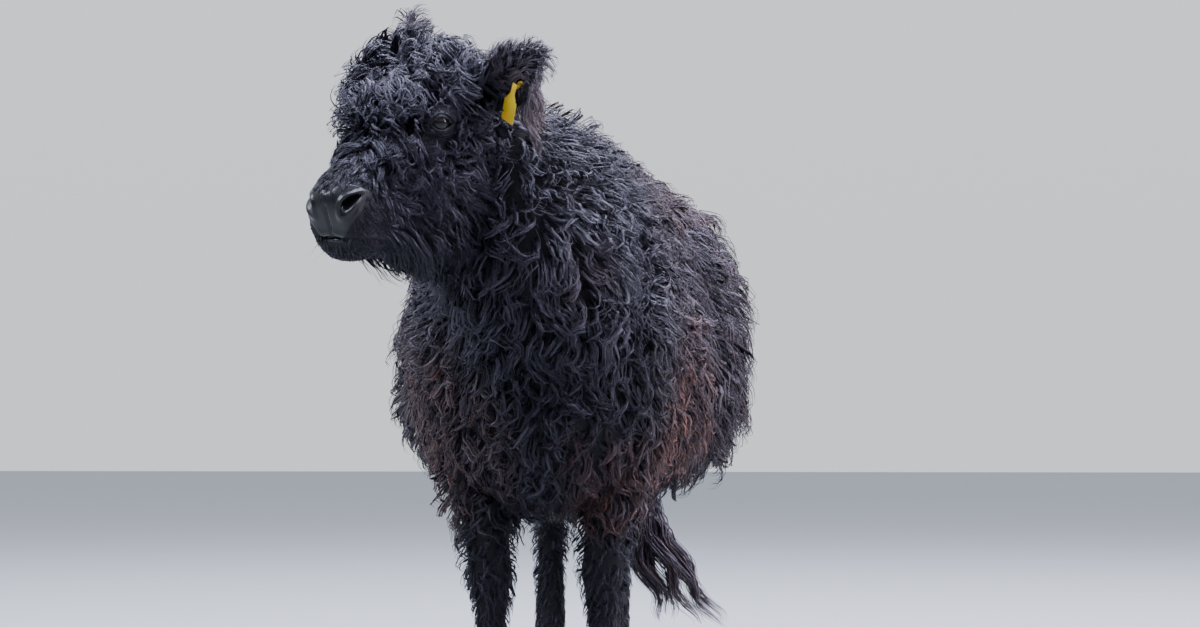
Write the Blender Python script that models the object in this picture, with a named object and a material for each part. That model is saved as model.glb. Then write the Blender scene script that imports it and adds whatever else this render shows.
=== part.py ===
"""A Galloway cow in her winter coat, life size, standing square with her head turned to her right.

Metres, +Z up. She faces -Y and her left side is +X. The sizes below stand in her own frame, whose origin is on
the ground midway between the fore feet; the last step moves every piece so that the origin lies under the middle
of the whole model.
"""

import math
import random

import bmesh
import bpy
import numpy as np
from mathutils import Matrix, Vector
from mathutils.bvhtree import BVHTree

# Driving sizes of the body without its coat
WITHERS = 1.225
TRUNK_LENGTH = 1.64
TRUNK_FRONT = -0.27
BARREL_HALF = 0.375
HIND_FEET_Y = 1.19

# Coat: how far its tips stand out from the skin and how deep its core is; the head has a share of both
COAT_DEPTH = 0.062
CORE_DEPTH = 0.030
HEAD_COAT = 0.5

# Locks: how far apart they stand, their width, length and thickness, how high they rise and how much they vary
SEED = 11
VARIED = 0.16
TORSO_LOCK = {"apart": 0.194, "width": 0.205, "length": 0.310, "thick": 0.022, "rise": 0.024, "hang": 0.004}
FRINGE_LOCK = {"apart": 0.168, "width": 0.160, "length": 0.210, "thick": 0.022, "rise": 0.026, "hang": 0.045}
NECK_LOCK = {"apart": 0.142, "width": 0.148, "length": 0.240, "thick": 0.022, "rise": 0.024, "hang": 0.006}
LEG_LOCK = {"apart": 0.112, "width": 0.108, "length": 0.160, "thick": 0.016, "rise": 0.016, "hang": 0.016}
CHEEK_LOCK = {"apart": 0.088, "width": 0.088, "length": 0.125, "thick": 0.016, "rise": 0.018, "hang": 0.0}
BEARD_LOCK = {"apart": 0.074, "width": 0.080, "length": 0.105, "thick": 0.020, "rise": 0.022, "hang": 0.055}
CURL = {"apart": 0.072, "width": 0.086, "length": 0.100, "thick": 0.031, "rise": 0.019, "hang": 0.0}
EAR_LOCK = {"width": 0.080, "length": 0.042, "thick": 0.012}
EAR_FAN = {"left": 1.0, "right": 1.5}

# The head's own frame: the poll, where it points, how far it droops, and how far its left side is raised
POLL = Vector((-0.161, -0.415, 1.319))
HEAD_TURN = math.radians(33)
HEAD_DROOP = math.radians(32.5)
HEAD_TILT = math.radians(-6)
HEAD_LENGTH = 0.466

# Eye: place in the head's frame as (left, ahead, up), radius, and the slope of the slit between the lids
EYE = (0.1010, 0.190, -0.012)
EYE_RADIUS = 0.0205
LID = 0.0035
LID_SLOPE = math.radians(24)
SLIT_HALF = (0.0185, 0.0125)

# Nostril and mouth, in the head's frame
NOSTRIL = (0.050, 0.447, -0.058)
NOSTRIL_RADII = (0.025, 0.012, 0.024)
MOUTH_DEPTH = 0.008
MOUTH_CORNER = 0.342
MOUTH_LEVELS = (-0.118, -0.166)
MUZZLE_FROM = 0.380

# Ears: root in the head's frame, length, half width, depth of the cup, thickness, and how far each is raised
EAR_ROOT = (0.086, 0.030, -0.034)
FORELOCK = (((-0.014, 0.060, -0.010), (0.172, 0.140, 0.118)), ((-0.016, 0.160, 0.020), (0.140, 0.125, 0.076)))
EAR_LENGTH = 0.165
EAR_HALF = 0.058
EAR_CUP = 0.034
EAR_THICK = 0.009
EAR_RAISED = {"left": math.radians(24), "right": math.radians(62)}
EAR_SWEPT = {"left": 0.0, "right": math.radians(-40)}

# Ear tag in her left ear
TAG_PLACE = 0.58
TAG_LOW = 0.030
TAG_FORWARD = 0.016
TAG_SIZE = (0.040, 0.058)
TAG_LEAN = 0.40
TAG_THICK = 0.0024
TAG_PIN = 0.0035

# Tail: the line that it follows, with the half width of the dock at each point
TAIL = (
    (0.000, 1.270, 1.070, 0.040),
    (0.000, 1.380, 1.078, 0.038),
    (0.000, 1.448, 1.015, 0.034),
    (0.002, 1.478, 0.900, 0.030),
    (0.008, 1.488, 0.750, 0.027),
    (0.026, 1.488, 0.605, 0.025),
    (0.062, 1.486, 0.480, 0.023),
)
SWITCH = (
    (0.045, 1.487, 0.530, 0.020),
    (0.078, 1.486, 0.430, 0.032),
    (0.118, 1.482, 0.330, 0.036),
    (0.168, 1.476, 0.220, 0.036),
    (0.222, 1.470, 0.120, 0.026),
    (0.262, 1.466, 0.050, 0.010),
)

STRANDS = 6

# Where the body is parted. Each plane has a point and a facing
NECK_ROOT = (Vector((0, -0.135, 0.94)), Vector((0, -0.912, 0.41)))
HEAD_WEDGE = ((-0.222, 0.50), (0.139, -0.312), (0.80, -0.135), (0.80, 0.50))
TAIL_ROOT = (Vector((0, 1.405, 1.10)), Vector((0, 1, 0)))
FORE_TOP, HIND_TOP = 0.452, 0.545
KNEE, HOCK = 0.292, 0.425
HOOF_TOP = 0.042
GAP = 0.0003

# Trunk rows: place along it, top and bottom as shares of WITHERS, height of the widest level, half width as a
# share of BARREL_HALF, and how square the section is (1 is an ellipse)
TRUNK = (
    (0.00, 0.640, 0.500, 0.70, 0.14, 1.00),
    (0.02, 0.740, 0.440, 0.70, 0.36, 1.00),
    (0.06, 0.850, 0.385, 0.68, 0.54, 1.00),
    (0.12, 0.940, 0.362, 0.66, 0.66, 1.00),
    (0.21, 1.000, 0.358, 0.65, 0.73, 1.00),
    (0.32, 0.992, 0.364, 0.64, 0.83, 0.96),
    (0.45, 0.975, 0.365, 0.65, 0.95, 0.94),
    (0.58, 0.972, 0.360, 0.66, 1.00, 0.93),
    (0.70, 0.978, 0.385, 0.69, 0.98, 0.92),
    (0.80, 0.982, 0.440, 0.74, 0.88, 0.86),
    (0.89, 0.968, 0.500, 0.78, 0.76, 0.90),
    (0.95, 0.935, 0.570, 0.80, 0.60, 0.96),
    (0.985, 0.880, 0.640, 0.82, 0.38, 1.00),
    (1.00, 0.800, 0.700, 0.88, 0.12, 1.00),
)

# Neck rows: crest point, throat point, half width
NECK = (
    ((0.000, 0.200, 1.190), (0.000, -0.050, 0.560), 0.200),
    ((0.000, 0.020, 1.205), (0.000, -0.250, 0.640), 0.195),
    ((-0.034, -0.125, 1.225), (-0.022, -0.340, 0.765), 0.170),
    ((-0.092, -0.265, 1.258), (-0.065, -0.392, 0.900), 0.138),
    ((-0.146, -0.375, 1.285), (-0.112, -0.395, 1.040), 0.112),
)

# Head rows: place from the poll to the muzzle, height of the face line, depth to the jaw, drop to the widest
# level, half width, squareness
HEAD = (
    (-0.12, -0.050, 0.150, 0.065, 0.064, 1.00),
    (0.00, -0.005, 0.220, 0.075, 0.092, 0.90),
    (0.12, 0.014, 0.265, 0.070, 0.108, 0.84),
    (0.26, 0.018, 0.290, 0.065, 0.113, 0.82),
    (0.40, 0.013, 0.285, 0.065, 0.106, 0.84),
    (0.54, 0.003, 0.256, 0.070, 0.088, 0.88),
    (0.67, -0.004, 0.222, 0.075, 0.072, 0.88),
    (0.79, -0.010, 0.194, 0.080, 0.066, 0.84),
    (0.90, -0.018, 0.176, 0.085, 0.070, 0.80),
    (0.97, -0.034, 0.150, 0.075, 0.064, 0.80),
    (1.00, -0.062, 0.110, 0.060, 0.050, 0.86),
)

# Leg rows: height, how far out and how far back the middle lies, half width, reach back, reach forward
FORE_LEG = (
    (1.020, 0.150, 0.060, 0.050, 0.110, 0.110),
    (0.900, 0.180, 0.020, 0.064, 0.150, 0.150),
    (0.760, 0.188, -0.020, 0.076, 0.160, 0.160),
    (0.620, 0.176, -0.010, 0.076, 0.135, 0.130),
    (0.500, 0.156, 0.005, 0.068, 0.100, 0.095),
    (0.400, 0.136, 0.000, 0.053, 0.074, 0.070),
    (0.330, 0.128, -0.004, 0.047, 0.052, 0.052),
    (0.285, 0.123, -0.008, 0.048, 0.046, 0.050),
    (0.235, 0.121, -0.004, 0.038, 0.038, 0.040),
    (0.170, 0.121, 0.000, 0.031, 0.034, 0.032),
    (0.105, 0.121, 0.000, 0.037, 0.044, 0.036),
    (0.062, 0.121, -0.014, 0.038, 0.040, 0.040),
    (0.042, 0.121, -0.022, 0.041, 0.040, 0.046),
    (0.015, 0.121, -0.026, 0.043, 0.040, 0.050),
)
HIND_LEG = (
    (1.060, 0.120, -0.070, 0.070, 0.150, 0.150),
    (0.920, 0.175, -0.080, 0.105, 0.195, 0.190),
    (0.780, 0.188, -0.080, 0.110, 0.195, 0.190),
    (0.650, 0.178, -0.060, 0.095, 0.160, 0.150),
    (0.550, 0.158, -0.010, 0.072, 0.110, 0.110),
    (0.480, 0.142, 0.040, 0.052, 0.080, 0.072),
    (0.425, 0.134, 0.062, 0.043, 0.062, 0.052),
    (0.360, 0.130, 0.058, 0.037, 0.046, 0.042),
    (0.250, 0.128, 0.034, 0.032, 0.038, 0.034),
    (0.110, 0.126, 0.010, 0.038, 0.044, 0.038),
    (0.064, 0.126, -0.008, 0.038, 0.040, 0.040),
    (0.042, 0.126, -0.018, 0.041, 0.040, 0.046),
    (0.015, 0.126, -0.022, 0.043, 0.040, 0.050),
)
HIND_RIGHT_SHIFT = (0.016, 0.020)
HIND_LEFT_SHIFT = (-0.066, -0.030)


def smoothed(rows, count):
    """Reads rows of numbers at equal steps of a Catmull-Rom curve through them."""
    rows = np.asarray(rows, float)
    ends = np.vstack((2 * rows[0] - rows[1], rows, 2 * rows[-1] - rows[-2]))
    at = np.linspace(0, len(rows) - 1, count)
    k = np.minimum(at.astype(int), len(rows) - 2)
    t = (at - k)[:, None]
    a, b, c, d = (ends[k + i] for i in range(4))
    return 0.5 * (2 * b + (c - a) * t + (2 * a - 5 * b + 4 * c - d) * t**2 + (3 * b - a - 3 * c + d) * t**3)


def ring(centre, across, up, half, rise, drop, square, sides):
    """One closed section: half wide to each side, rise above the centre and drop below it."""
    turn = np.arange(sides) * 2 * math.pi / sides
    s, c = np.sin(turn), np.cos(turn)
    wide = np.sign(s) * np.abs(s) ** square * half
    tall = np.sign(c) * np.abs(c) ** square * np.where(c > 0, rise, drop)
    return np.asarray(centre) + np.outer(wide, across) + np.outer(tall, up)


def loft(rings):
    """Points and faces of a closed tube through rings of one size, with flat ends."""
    sides = len(rings[0])
    points = np.vstack(rings)
    faces = [tuple(range(sides))[::-1]]
    for i in range(len(rings) - 1):
        for j in range(sides):
            k = (j + 1) % sides
            faces.append((i * sides + j, i * sides + k, (i + 1) * sides + k, (i + 1) * sides + j))
    faces.append(tuple((len(rings) - 1) * sides + j for j in range(sides)))
    return points, faces


def mesh_object(name, points, faces):
    """A closed mesh object with its faces pointing out."""
    mesh = bpy.data.meshes.new(name)
    mesh.from_pydata([tuple(p) for p in points], [], faces)
    mesh.validate()
    made = bpy.data.objects.new(name, mesh)
    bpy.context.scene.collection.objects.link(made)
    corners = [points[list(f)] for f in faces]
    volume = sum(np.dot(c[0], np.cross(c[i], c[i + 1])) for c in corners for i in range(1, len(c) - 1))
    if volume < 0:
        mesh.flip_normals()
    return made


def trunk_rings(grow, count=30, sides=28):
    """Sections of the trunk, grown outwards by grow."""
    rings = []
    for along, top, bottom, widest, half, square in smoothed(TRUNK, count):
        end = -grow if along < 0.02 else grow if along > 0.98 else 0
        centre = (0, TRUNK_FRONT + along * TRUNK_LENGTH + end, widest)
        rise = top * WITHERS - widest + grow
        drop = widest - bottom * WITHERS + grow
        rings.append(ring(centre, (1, 0, 0), (0, 0, 1), half * BARREL_HALF + grow, rise, drop, square, sides))
    return rings


def neck_rings(grow, count=14, sides=24):
    """Sections of the neck, each between its crest and its throat."""
    rows = smoothed([(*crest, *throat, half) for crest, throat, half in NECK], count)
    middles = (rows[:, :3] + rows[:, 3:6]) / 2
    heading = np.gradient(middles, axis=0)
    rings = []
    for row, middle, ahead in zip(rows, middles, heading):
        rise = row[:3] - row[3:6]
        depth = np.linalg.norm(rise)
        up = rise / depth
        across = np.cross(ahead, up)
        across /= np.linalg.norm(across)
        reach = depth / 2 + grow
        rings.append(ring(middle, across, up, row[6] + grow, reach, reach, 0.92, sides))
    return rings


def head_frame():
    """Matrix of the head's own frame: X to her left, Y from the poll to the muzzle, Z up from the face."""
    turned = Vector((-math.sin(HEAD_TURN), -math.cos(HEAD_TURN), 0))
    ahead = turned * math.cos(HEAD_DROOP) - Vector((0, 0, math.sin(HEAD_DROOP)))
    level = Vector((0, 0, 1)).cross(turned)
    left = level * math.cos(HEAD_TILT) + ahead.cross(level) * math.sin(HEAD_TILT)
    up = ahead.cross(left)
    return Matrix((
        (left.x, ahead.x, up.x, POLL.x),
        (left.y, ahead.y, up.y, POLL.y),
        (left.z, ahead.z, up.z, POLL.z),
        (0, 0, 0, 1),
    ))


def head_rings(grow, bare_too=False, count=26, sides=28):
    """Sections of the head. Its coat is short, and gives out towards the bare muzzle unless that grows too."""
    frame = np.array(head_frame())
    rings = []
    for along, line, depth, widest, half, square in smoothed(HEAD, count):
        bare = grow if bare_too else HEAD_COAT * grow * min(1.0, max(0.0, (0.80 - along) / 0.25))
        flat = ring((0, along * HEAD_LENGTH, line - widest), (1, 0, 0), (0, 0, 1),
                    half + bare, widest + bare, depth - widest + bare, square, sides)
        rings.append(flat @ frame[:3, :3].T + frame[:3, 3])
    return rings


def leg_rings(rows, side, shift, base, grow, count=26, sides=18):
    """Sections of a leg from the top down. The coat thins towards the foot."""
    rings = []
    for height, out, back, half, behind, ahead in smoothed(rows, count):
        fade = min(1.0, max(0.15, (height - 0.10) / 0.30))
        low = min(1.0, max(0.0, (0.9 - height) / 0.5))
        centre = (side * out + shift[0] * low, base + back + shift[1] * low, height)
        coat = grow * fade
        rings.append(ring(centre, (1, 0, 0), (0, 1, 0), half + coat, behind + coat, ahead + coat, 0.95, sides))
    return rings


LEGS = {
    "fore_left": (FORE_LEG, 1, (0, 0), 0.0),
    "fore_right": (FORE_LEG, -1, (0, 0), 0.0),
    "hind_left": (HIND_LEG, 1, HIND_LEFT_SHIFT, HIND_FEET_Y),
    "hind_right": (HIND_LEG, -1, HIND_RIGHT_SHIFT, HIND_FEET_Y),
}


def applied(obj, *modifiers):
    """Adds modifiers, each (kind, settings), and makes the result the object's own mesh."""
    for kind, settings in modifiers:
        modifier = obj.modifiers.new(kind, kind)
        for key, value in settings.items():
            setattr(modifier, key, value)
    graph = bpy.context.evaluated_depsgraph_get()
    done = bpy.data.meshes.new_from_object(obj.evaluated_get(graph))
    obj.modifiers.clear()
    obj.data = done
    return obj


def joined(name, parts):
    """One mesh object from several lists of points and faces."""
    points, faces, start = [], [], 0
    for p, f in parts:
        points.append(p)
        faces += [tuple(i + start for i in face) for face in f]
        start += len(p)
    mesh = bpy.data.meshes.new(name)
    mesh.from_pydata([tuple(p) for p in np.vstack(points)], [], faces)
    made = bpy.data.objects.new(name, mesh)
    bpy.context.scene.collection.objects.link(made)
    return made


def mesh_parts(obj):
    """Takes an object out of the scene and gives its points and faces."""
    points = np.array([v.co for v in obj.data.vertices])
    faces = [tuple(f.vertices) for f in obj.data.polygons]
    remove(obj)
    return points, faces


def remove(*objects):
    for obj in objects:
        bpy.data.objects.remove(obj)


def copy_of(obj, name):
    """A second object with a mesh of its own."""
    made = bpy.data.objects.new(name, obj.data.copy())
    bpy.context.scene.collection.objects.link(made)
    return made


def cut(obj, other, operation="DIFFERENCE", keep_other=False):
    """One Boolean with another closed mesh. MANIFOLD, because EXACT is slow on the dense blended skin."""
    applied(obj, ("BOOLEAN", {"operation": operation, "solver": "MANIFOLD", "object": other}))
    if not keep_other:
        remove(other)
    return obj


def fused(obj, pieces):
    """Joins closed meshes to obj in one Boolean union on their collection."""
    if not pieces:
        return obj
    group = bpy.data.collections.new("pieces")
    bpy.context.scene.collection.children.link(group)
    for piece in pieces:
        for holder in list(piece.users_collection):
            holder.objects.unlink(piece)
        group.objects.link(piece)
    applied(obj, ("BOOLEAN", {"operation": "UNION", "solver": "MANIFOLD", "operand_type": "COLLECTION",
                              "collection": group}))
    remove(*pieces)
    bpy.data.collections.remove(group)
    return obj


def largest_surface(obj):
    """Keeps only the largest closed surface of obj."""
    mesh = obj.data
    count = len(mesh.vertices)
    label = np.arange(count)
    edges = np.array([e.vertices[:] for e in mesh.edges])
    while True:
        low = np.minimum(label[edges[:, 0]], label[edges[:, 1]])
        new = label.copy()
        np.minimum.at(new, edges[:, 0], low)
        np.minimum.at(new, edges[:, 1], low)
        new = new[new]
        if (new == label).all():
            break
        label = new
    names, sizes = np.unique(label, return_counts=True)
    keep = label == names[sizes.argmax()]
    if keep.all():
        return obj
    place = np.cumsum(keep) - 1
    points = np.array([v.co for v in mesh.vertices])[keep]
    faces = [tuple(int(place[i]) for i in f.vertices) for f in mesh.polygons if keep[f.vertices[0]]]
    made = bpy.data.meshes.new(mesh.name)
    made.from_pydata([tuple(p) for p in points], [], faces)
    obj.data = made
    return obj


def slab(name, plane, side, gap=GAP / 2, size=5.0):
    """A large box on one side of a plane, its face half a gap away from it."""
    point, facing = plane
    across = facing.orthogonal().normalized()
    along = facing.cross(across)
    near = point + facing * (gap * side)
    far = near + facing * (size * side)
    corners = [(-1, -1), (1, -1), (1, 1), (-1, 1)]
    points = [base + across * (u * size) + along * (v * size) for base in (near, far) for u, v in corners]
    faces = [(0, 1, 2, 3), (7, 6, 5, 4)] + [(i, i + 4, (i + 1) % 4 + 4, (i + 1) % 4) for i in range(4)]
    return mesh_object(name, np.array(points), faces)


def box(name, low, high):
    """A closed box between two corners."""
    points = [(x, y, z) for z in (low[2], high[2]) for x, y in
              ((low[0], low[1]), (high[0], low[1]), (high[0], high[1]), (low[0], high[1]))]
    faces = [(3, 2, 1, 0), (4, 5, 6, 7)] + [(i, (i + 1) % 4, (i + 1) % 4 + 4, i + 4) for i in range(4)]
    return mesh_object(name, np.array(points), faces)


def in_head(points):
    """Points of the head's frame in her own frame."""
    frame = np.array(head_frame())
    return np.asarray(points, float) @ frame[:3, :3].T + frame[:3, 3]


def head_wedge(gap):
    """The space that the head fills: ahead of the nape and above the throat, its walls moved out by gap."""
    profile = np.array(HEAD_WEDGE)
    middle = profile.mean(axis=0)
    flat = middle + (profile - middle) * (1 + gap / 0.30)
    points = [(side * 0.6, a, u) for side in (1, -1) for a, u in flat]
    faces = [(0, 1, 2, 3), (7, 6, 5, 4)] + [(i, i + 4, (i + 1) % 4 + 4, (i + 1) % 4) for i in range(4)]
    return mesh_object("wedge", in_head(points), faces)


def ellipsoid(name, centre, radii, axes=None, sides=16, rows=9):
    """A closed ellipsoid; axes has its three directions as rows."""
    axes = np.eye(3) if axes is None else np.asarray(axes, float)
    rings = []
    for k in range(1, rows):
        turn = math.pi * k / rows
        flat = ring((0, 0, radii[2] * math.cos(turn)), (radii[0] * math.sin(turn), 0, 0),
                    (0, radii[1] * math.sin(turn), 0), 1, 1, 1, 1, sides)
        rings.append(flat @ axes + np.asarray(centre))
    points, faces = loft(rings)
    poles = np.array([[0, 0, radii[2]], [0, 0, -radii[2]]]) @ axes + np.asarray(centre)
    top, bottom, last = len(points), len(points) + 1, (rows - 2) * sides
    faces = faces[1:-1]
    faces += [(top, (j + 1) % sides, j) for j in range(sides)]
    faces += [(bottom, last + j, last + (j + 1) % sides) for j in range(sides)]
    return mesh_object(name, np.vstack((points, poles)), faces)


def whole_body(grow):
    """Trunk, neck, head, legs and the root of the tail blended into one closed skin."""
    trunk = joined("trunk", [loft(trunk_rings(grow)), loft(neck_rings(grow))])
    applied(trunk, ("REMESH", {"mode": "VOXEL", "voxel_size": 0.020}),
            ("SMOOTH", {"factor": 0.5, "iterations": 12}))
    forms = [mesh_parts(trunk), loft(head_rings(grow)), loft(tail_rings(TAIL[:3], 6))]
    forms += [loft(leg_rings(*leg, grow)) for leg in LEGS.values()]
    for centre, radii in FORELOCK:
        size = np.array(radii) - (COAT_DEPTH - grow) * 1.2
        dome = ellipsoid("dome", in_head([centre])[0], size, np.array(head_frame().to_3x3()).T)
        forms.append(mesh_parts(dome))
    body = joined("body", forms)
    applied(body, ("REMESH", {"mode": "VOXEL", "voxel_size": 0.009}),
            ("SMOOTH", {"factor": 0.5, "iterations": 7}))
    return body


def tail_rings(rows, count, sides=10):
    """Round sections along a line of points with half widths."""
    rows = smoothed(rows, count)
    heading = np.gradient(rows[:, :3], axis=0)
    rings = []
    for row, ahead in zip(rows, heading):
        across = np.cross(ahead, (0, 1, 0.3))
        across /= np.linalg.norm(across)
        up = np.cross(across, ahead)
        up /= np.linalg.norm(up)
        rings.append(ring(row[:3], across, up, row[3], row[3], row[3], 1, sides))
    return rings


def lie(point, normal):
    """The way the hair lies at a point of the trunk, neck or legs: backwards and down, straight down in front."""
    back = min(0.75, max(0.10, 0.25 + 0.6 * point.y)) if point.z > 0.5 else 0.10
    if point.y > 1.25:
        back = 0.0
    way = Vector((0.25 * math.copysign(1, point.x) * max(0.0, normal.z), back, -0.85))
    way -= normal * way.dot(normal)
    return way.normalized()


def face_lie(point, normal):
    """The way the hair lies on the head: from the poll down over the face, and down the cheeks."""
    local = head_frame().inverted() @ point
    turn = head_frame().to_3x3()
    side = math.copysign(1, local.x)
    way = Vector((side * 0.35, 0.8, 0.0)) if local.z > -0.06 else Vector((0.0, -0.35, -0.95))
    way = turn @ way
    way -= normal * way.dot(normal)
    return way.normalized()


def lock(tree, root, way_at, style, rng, blunt=False, sides=3):
    """A flat, tapered lock that starts in the core, bends along its lie and lifts clear of the core.

    There is none where the skin turns so sharply that the lock would fold over itself.
    """
    width, length = (style[key] * rng.uniform(1 - VARIED, 1 + VARIED) for key in ("width", "length"))
    widths = (0.60, 1.00, 0.95, 0.62) if blunt else (0.60, 1.00, 0.66, 0.05)
    highs = (-0.9, 0.55, 1.0, 0.45) if blunt else (-0.75, 0.65, 0.90, 0.42)
    bend = rng.uniform(-0.55, 0.55)
    rings = []
    place, normal, _, _ = tree.find_nearest(root)
    if normal.dot(root - place) < 0:
        normal = -normal
    for k, (share, high) in enumerate(zip(widths, highs)):
        way = way_at(place, normal)
        across = normal.cross(way).normalized()
        way = (way + across * bend * math.sin(2.6 * k)).normalized()
        across = normal.cross(way).normalized()
        middle = place + normal * (style["rise"] * high)
        middle.z -= style["hang"] * (k / (len(widths) - 1))**2
        thick = style["thick"] * (1 if k < len(widths) - 1 else 0.5)
        half = max(0.003, width * share / 2)
        if sides == 3:
            flat = [(-half, -0.45 * thick), (half, -0.45 * thick), (rng.uniform(-0.3, 0.3) * half, 0.6 * thick)]
        else:
            turns = [2 * math.pi * j / sides + 0.3 for j in range(sides)]
            flat = [(-half * math.cos(a), 0.6 * thick * math.sin(a)) for a in turns][::-1]
        rings.append(np.array([tuple(middle + across * x + normal * z) for x, z in flat]))
        place, turned, _, _ = tree.find_nearest(place + way * (length / (len(widths) - 1)))
        if turned.dot(normal) < 0.35 or way_at(place, turned).dot(way) < 0.35:
            return None
        normal = turned
    return mesh_object("lock", *loft(rings))


def strewn(skin, keep, apart, rng):
    """Points of a dense skin, in random order, that keep chooses and that stand at least that far apart."""
    count = len(skin.data.vertices)
    points = np.empty(count * 3)
    skin.data.vertices.foreach_get("co", points)
    points = points.reshape(-1, 3)
    order = list(range(0, count, 7))
    rng.shuffle(order)
    taken = np.empty((0, 3))
    for i in order:
        if len(taken) and ((taken - points[i])**2).sum(axis=1).min() < apart**2:
            continue
        normal = skin.data.vertices[i].normal
        if keep(Vector(points[i]), normal):
            taken = np.vstack((taken, points[i]))
    return [Vector(p) for p in taken]


def near_tail(point):
    """True in the space behind the rump that the tail hangs in."""
    return point.y > 1.30 and abs(point.x - 0.03) < 0.13 and point.z < 1.16


def reach_inside(tree, root, way_at, length, inside):
    """The share of a lock's length that stays in its own node's space."""
    place, normal, _, _ = tree.find_nearest(root)
    for step in range(1, 9):
        if not inside(place):
            return max(0.45, (step - 1) / 8)
        place, normal, _, _ = tree.find_nearest(place + way_at(place, normal) * (length / 8))
    return 1.0


def locks_on(skin, tree, keep, style, way_at, seed, inside=None, **more):
    """Locks all over a region. Those that would run into another node are made shorter and narrower."""
    rng = random.Random(SEED + seed)
    made = []
    for root in strewn(skin, keep, style["apart"], rng):
        share = reach_inside(tree, root, way_at, style["length"], inside) if inside else 1.0
        own = dict(style, length=style["length"] * share, width=style["width"] * (0.6 + 0.4 * share))
        made.append(lock(tree, root, way_at, own, rng, **more))
    return [piece for piece in made if piece]


def side_of(plane, point):
    return (point - plane[0]).dot(plane[1])


def in_head_wedge(point, margin):
    """True in the head's space, or within margin of it."""
    local = head_frame().inverted() @ point
    (a0, u0), (a1, u1), (a2, u2) = HEAD_WEDGE[:3]
    behind = a0 + (u0 - local.z) * (a1 - a0) / (u0 - u1)
    below = u1 + (local.y - a1) * (u2 - u1) / (a2 - a1)
    return local.y > behind - margin and local.z > below - margin


def in_leg(point, name):
    upper, lower = leg_boxes(name, 0)
    return all(lower[0][k] < point[k] < upper[1][k] for k in range(3))


def torso_locks(skin, tree, draw):
    def free(point):
        return (side_of(NECK_ROOT, point) < -0.01 and point.y < 1.40 and not near_tail(point)
                and not any(in_leg(point, name) for name in LEGS))
    over = locks_on(skin, tree, lambda p, n: free(p) and n.z > -0.62, TORSO_LOCK, lie, 21 + draw, free)
    under = locks_on(skin, tree, lambda p, n: free(p) and -0.97 < n.z <= -0.62, FRINGE_LOCK, lie, 2 + draw, free)
    return over + under


def neck_locks(skin, tree, draw):
    def keep(point, normal):
        return side_of(NECK_ROOT, point) > 0.0 and not in_head_wedge(point, 0.02)
    return locks_on(skin, tree, keep, NECK_LOCK, lie, 3 + draw, lambda p: side_of(NECK_ROOT, p) > 0)


def leg_locks(skin, tree, name, draw):
    def keep(point, normal):
        upper, _ = leg_boxes(name, 0)
        return in_leg(point, name) and point.z > upper[0][2] + 0.05
    return locks_on(skin, tree, keep, LEG_LOCK, lie, 4 + draw, lambda p: p.z > leg_boxes(name, 0)[0][0][2] + 0.01)


def head_clumps(skin, tree, draw):
    """Curls on the brow and poll, locks down the cheeks and under the jaw."""
    back = head_frame().inverted()

    def clear_of_eye(local):
        return all((local - Vector((EYE[0] * s, EYE[1], EYE[2]))).length > 0.050 for s in (1, -1))

    def free(point):
        local = back @ point
        return clear_of_eye(local) and local.y < 0.315

    def curl(point, normal):
        local = back @ point
        return -0.07 < local.y < 0.27 and local.z > -0.02 - 0.3 * abs(local.x) and free(point)

    def cheek(point, normal):
        local = back @ point
        return -0.20 < local.z <= -0.06 and 0.0 < local.y < 0.27 and abs(local.x) > 0.05 and free(point)

    def beard(point, normal):
        local = back @ point
        return local.z < -0.17 and 0.08 < local.y < 0.34
    made = locks_on(skin, tree, curl, CURL, face_lie, 5 + draw, free, blunt=True, sides=4)
    made += locks_on(skin, tree, cheek, CHEEK_LOCK, face_lie, 6 + draw, free)
    return made + locks_on(skin, tree, beard, BEARD_LOCK, face_lie, 7 + draw)


def ear_locks(side, draw):
    """Locks that fan out from the ear's rim, longest on its lower edge."""
    rng = random.Random(SEED + 9 + side + draw)
    rings = ear_rings(side)
    along, across, opening = ear_axes(side)
    made = []
    last, steps = len(rings) - 1, len(rings[0]) // 2 - 1
    fan = EAR_FAN["left" if side > 0 else "right"]
    rims = [(k, rim, reach * fan) for k in (1, 3, 5) for rim, reach in ((0, 0.9), (steps, 1.25))]
    for k, rim, reach in rims + [(last, 1, 0.8), (last, steps - 1, 0.8)]:
        start = Vector(rings[k][rim])
        edge = {0: -1, steps: 1}.get(rim, 0.4 * (1 if rim > 1 else -1))
        out = across * edge + along * (0.30 + 0.9 * k / last)
        out = (out + Vector((0, 0, -0.25)) * (1 if rim == steps else 0)).normalized()
        inner = Vector(np.mean(rings[k], axis=0))
        start = start.lerp(inner, 0.30)
        flat = out.cross(opening).normalized()
        width = EAR_LOCK["width"] * rng.uniform(0.85, 1.15)
        length = EAR_LOCK["length"] * rng.uniform(0.85, 1.15) * reach
        spans = []
        for t, share in ((0, 0.9), (0.45, 1.0), (0.8, 0.62), (1.0, 0.10)):
            middle = start + out * (length * t) - opening * (0.004 * t) - Vector((0, 0, 0.014)) * t * t
            half, thick = width * share / 2, EAR_LOCK["thick"] * (1 - 0.6 * t) / 2
            spans.append(np.array([tuple(middle + flat * x + opening * z)
                                   for x, z in ((-half, -thick), (half, -thick), (0, thick))]))
        made.append(mesh_object("lock", *loft(spans)))
    return made


def is_closed(mesh):
    """True if every edge lies between exactly two faces."""
    uses = np.zeros(len(mesh.edges), int)
    place = np.empty(len(mesh.loops), int)
    mesh.loops.foreach_get("edge_index", place)
    np.add.at(uses, place, 1)
    return bool((uses == 2).all())


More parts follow.
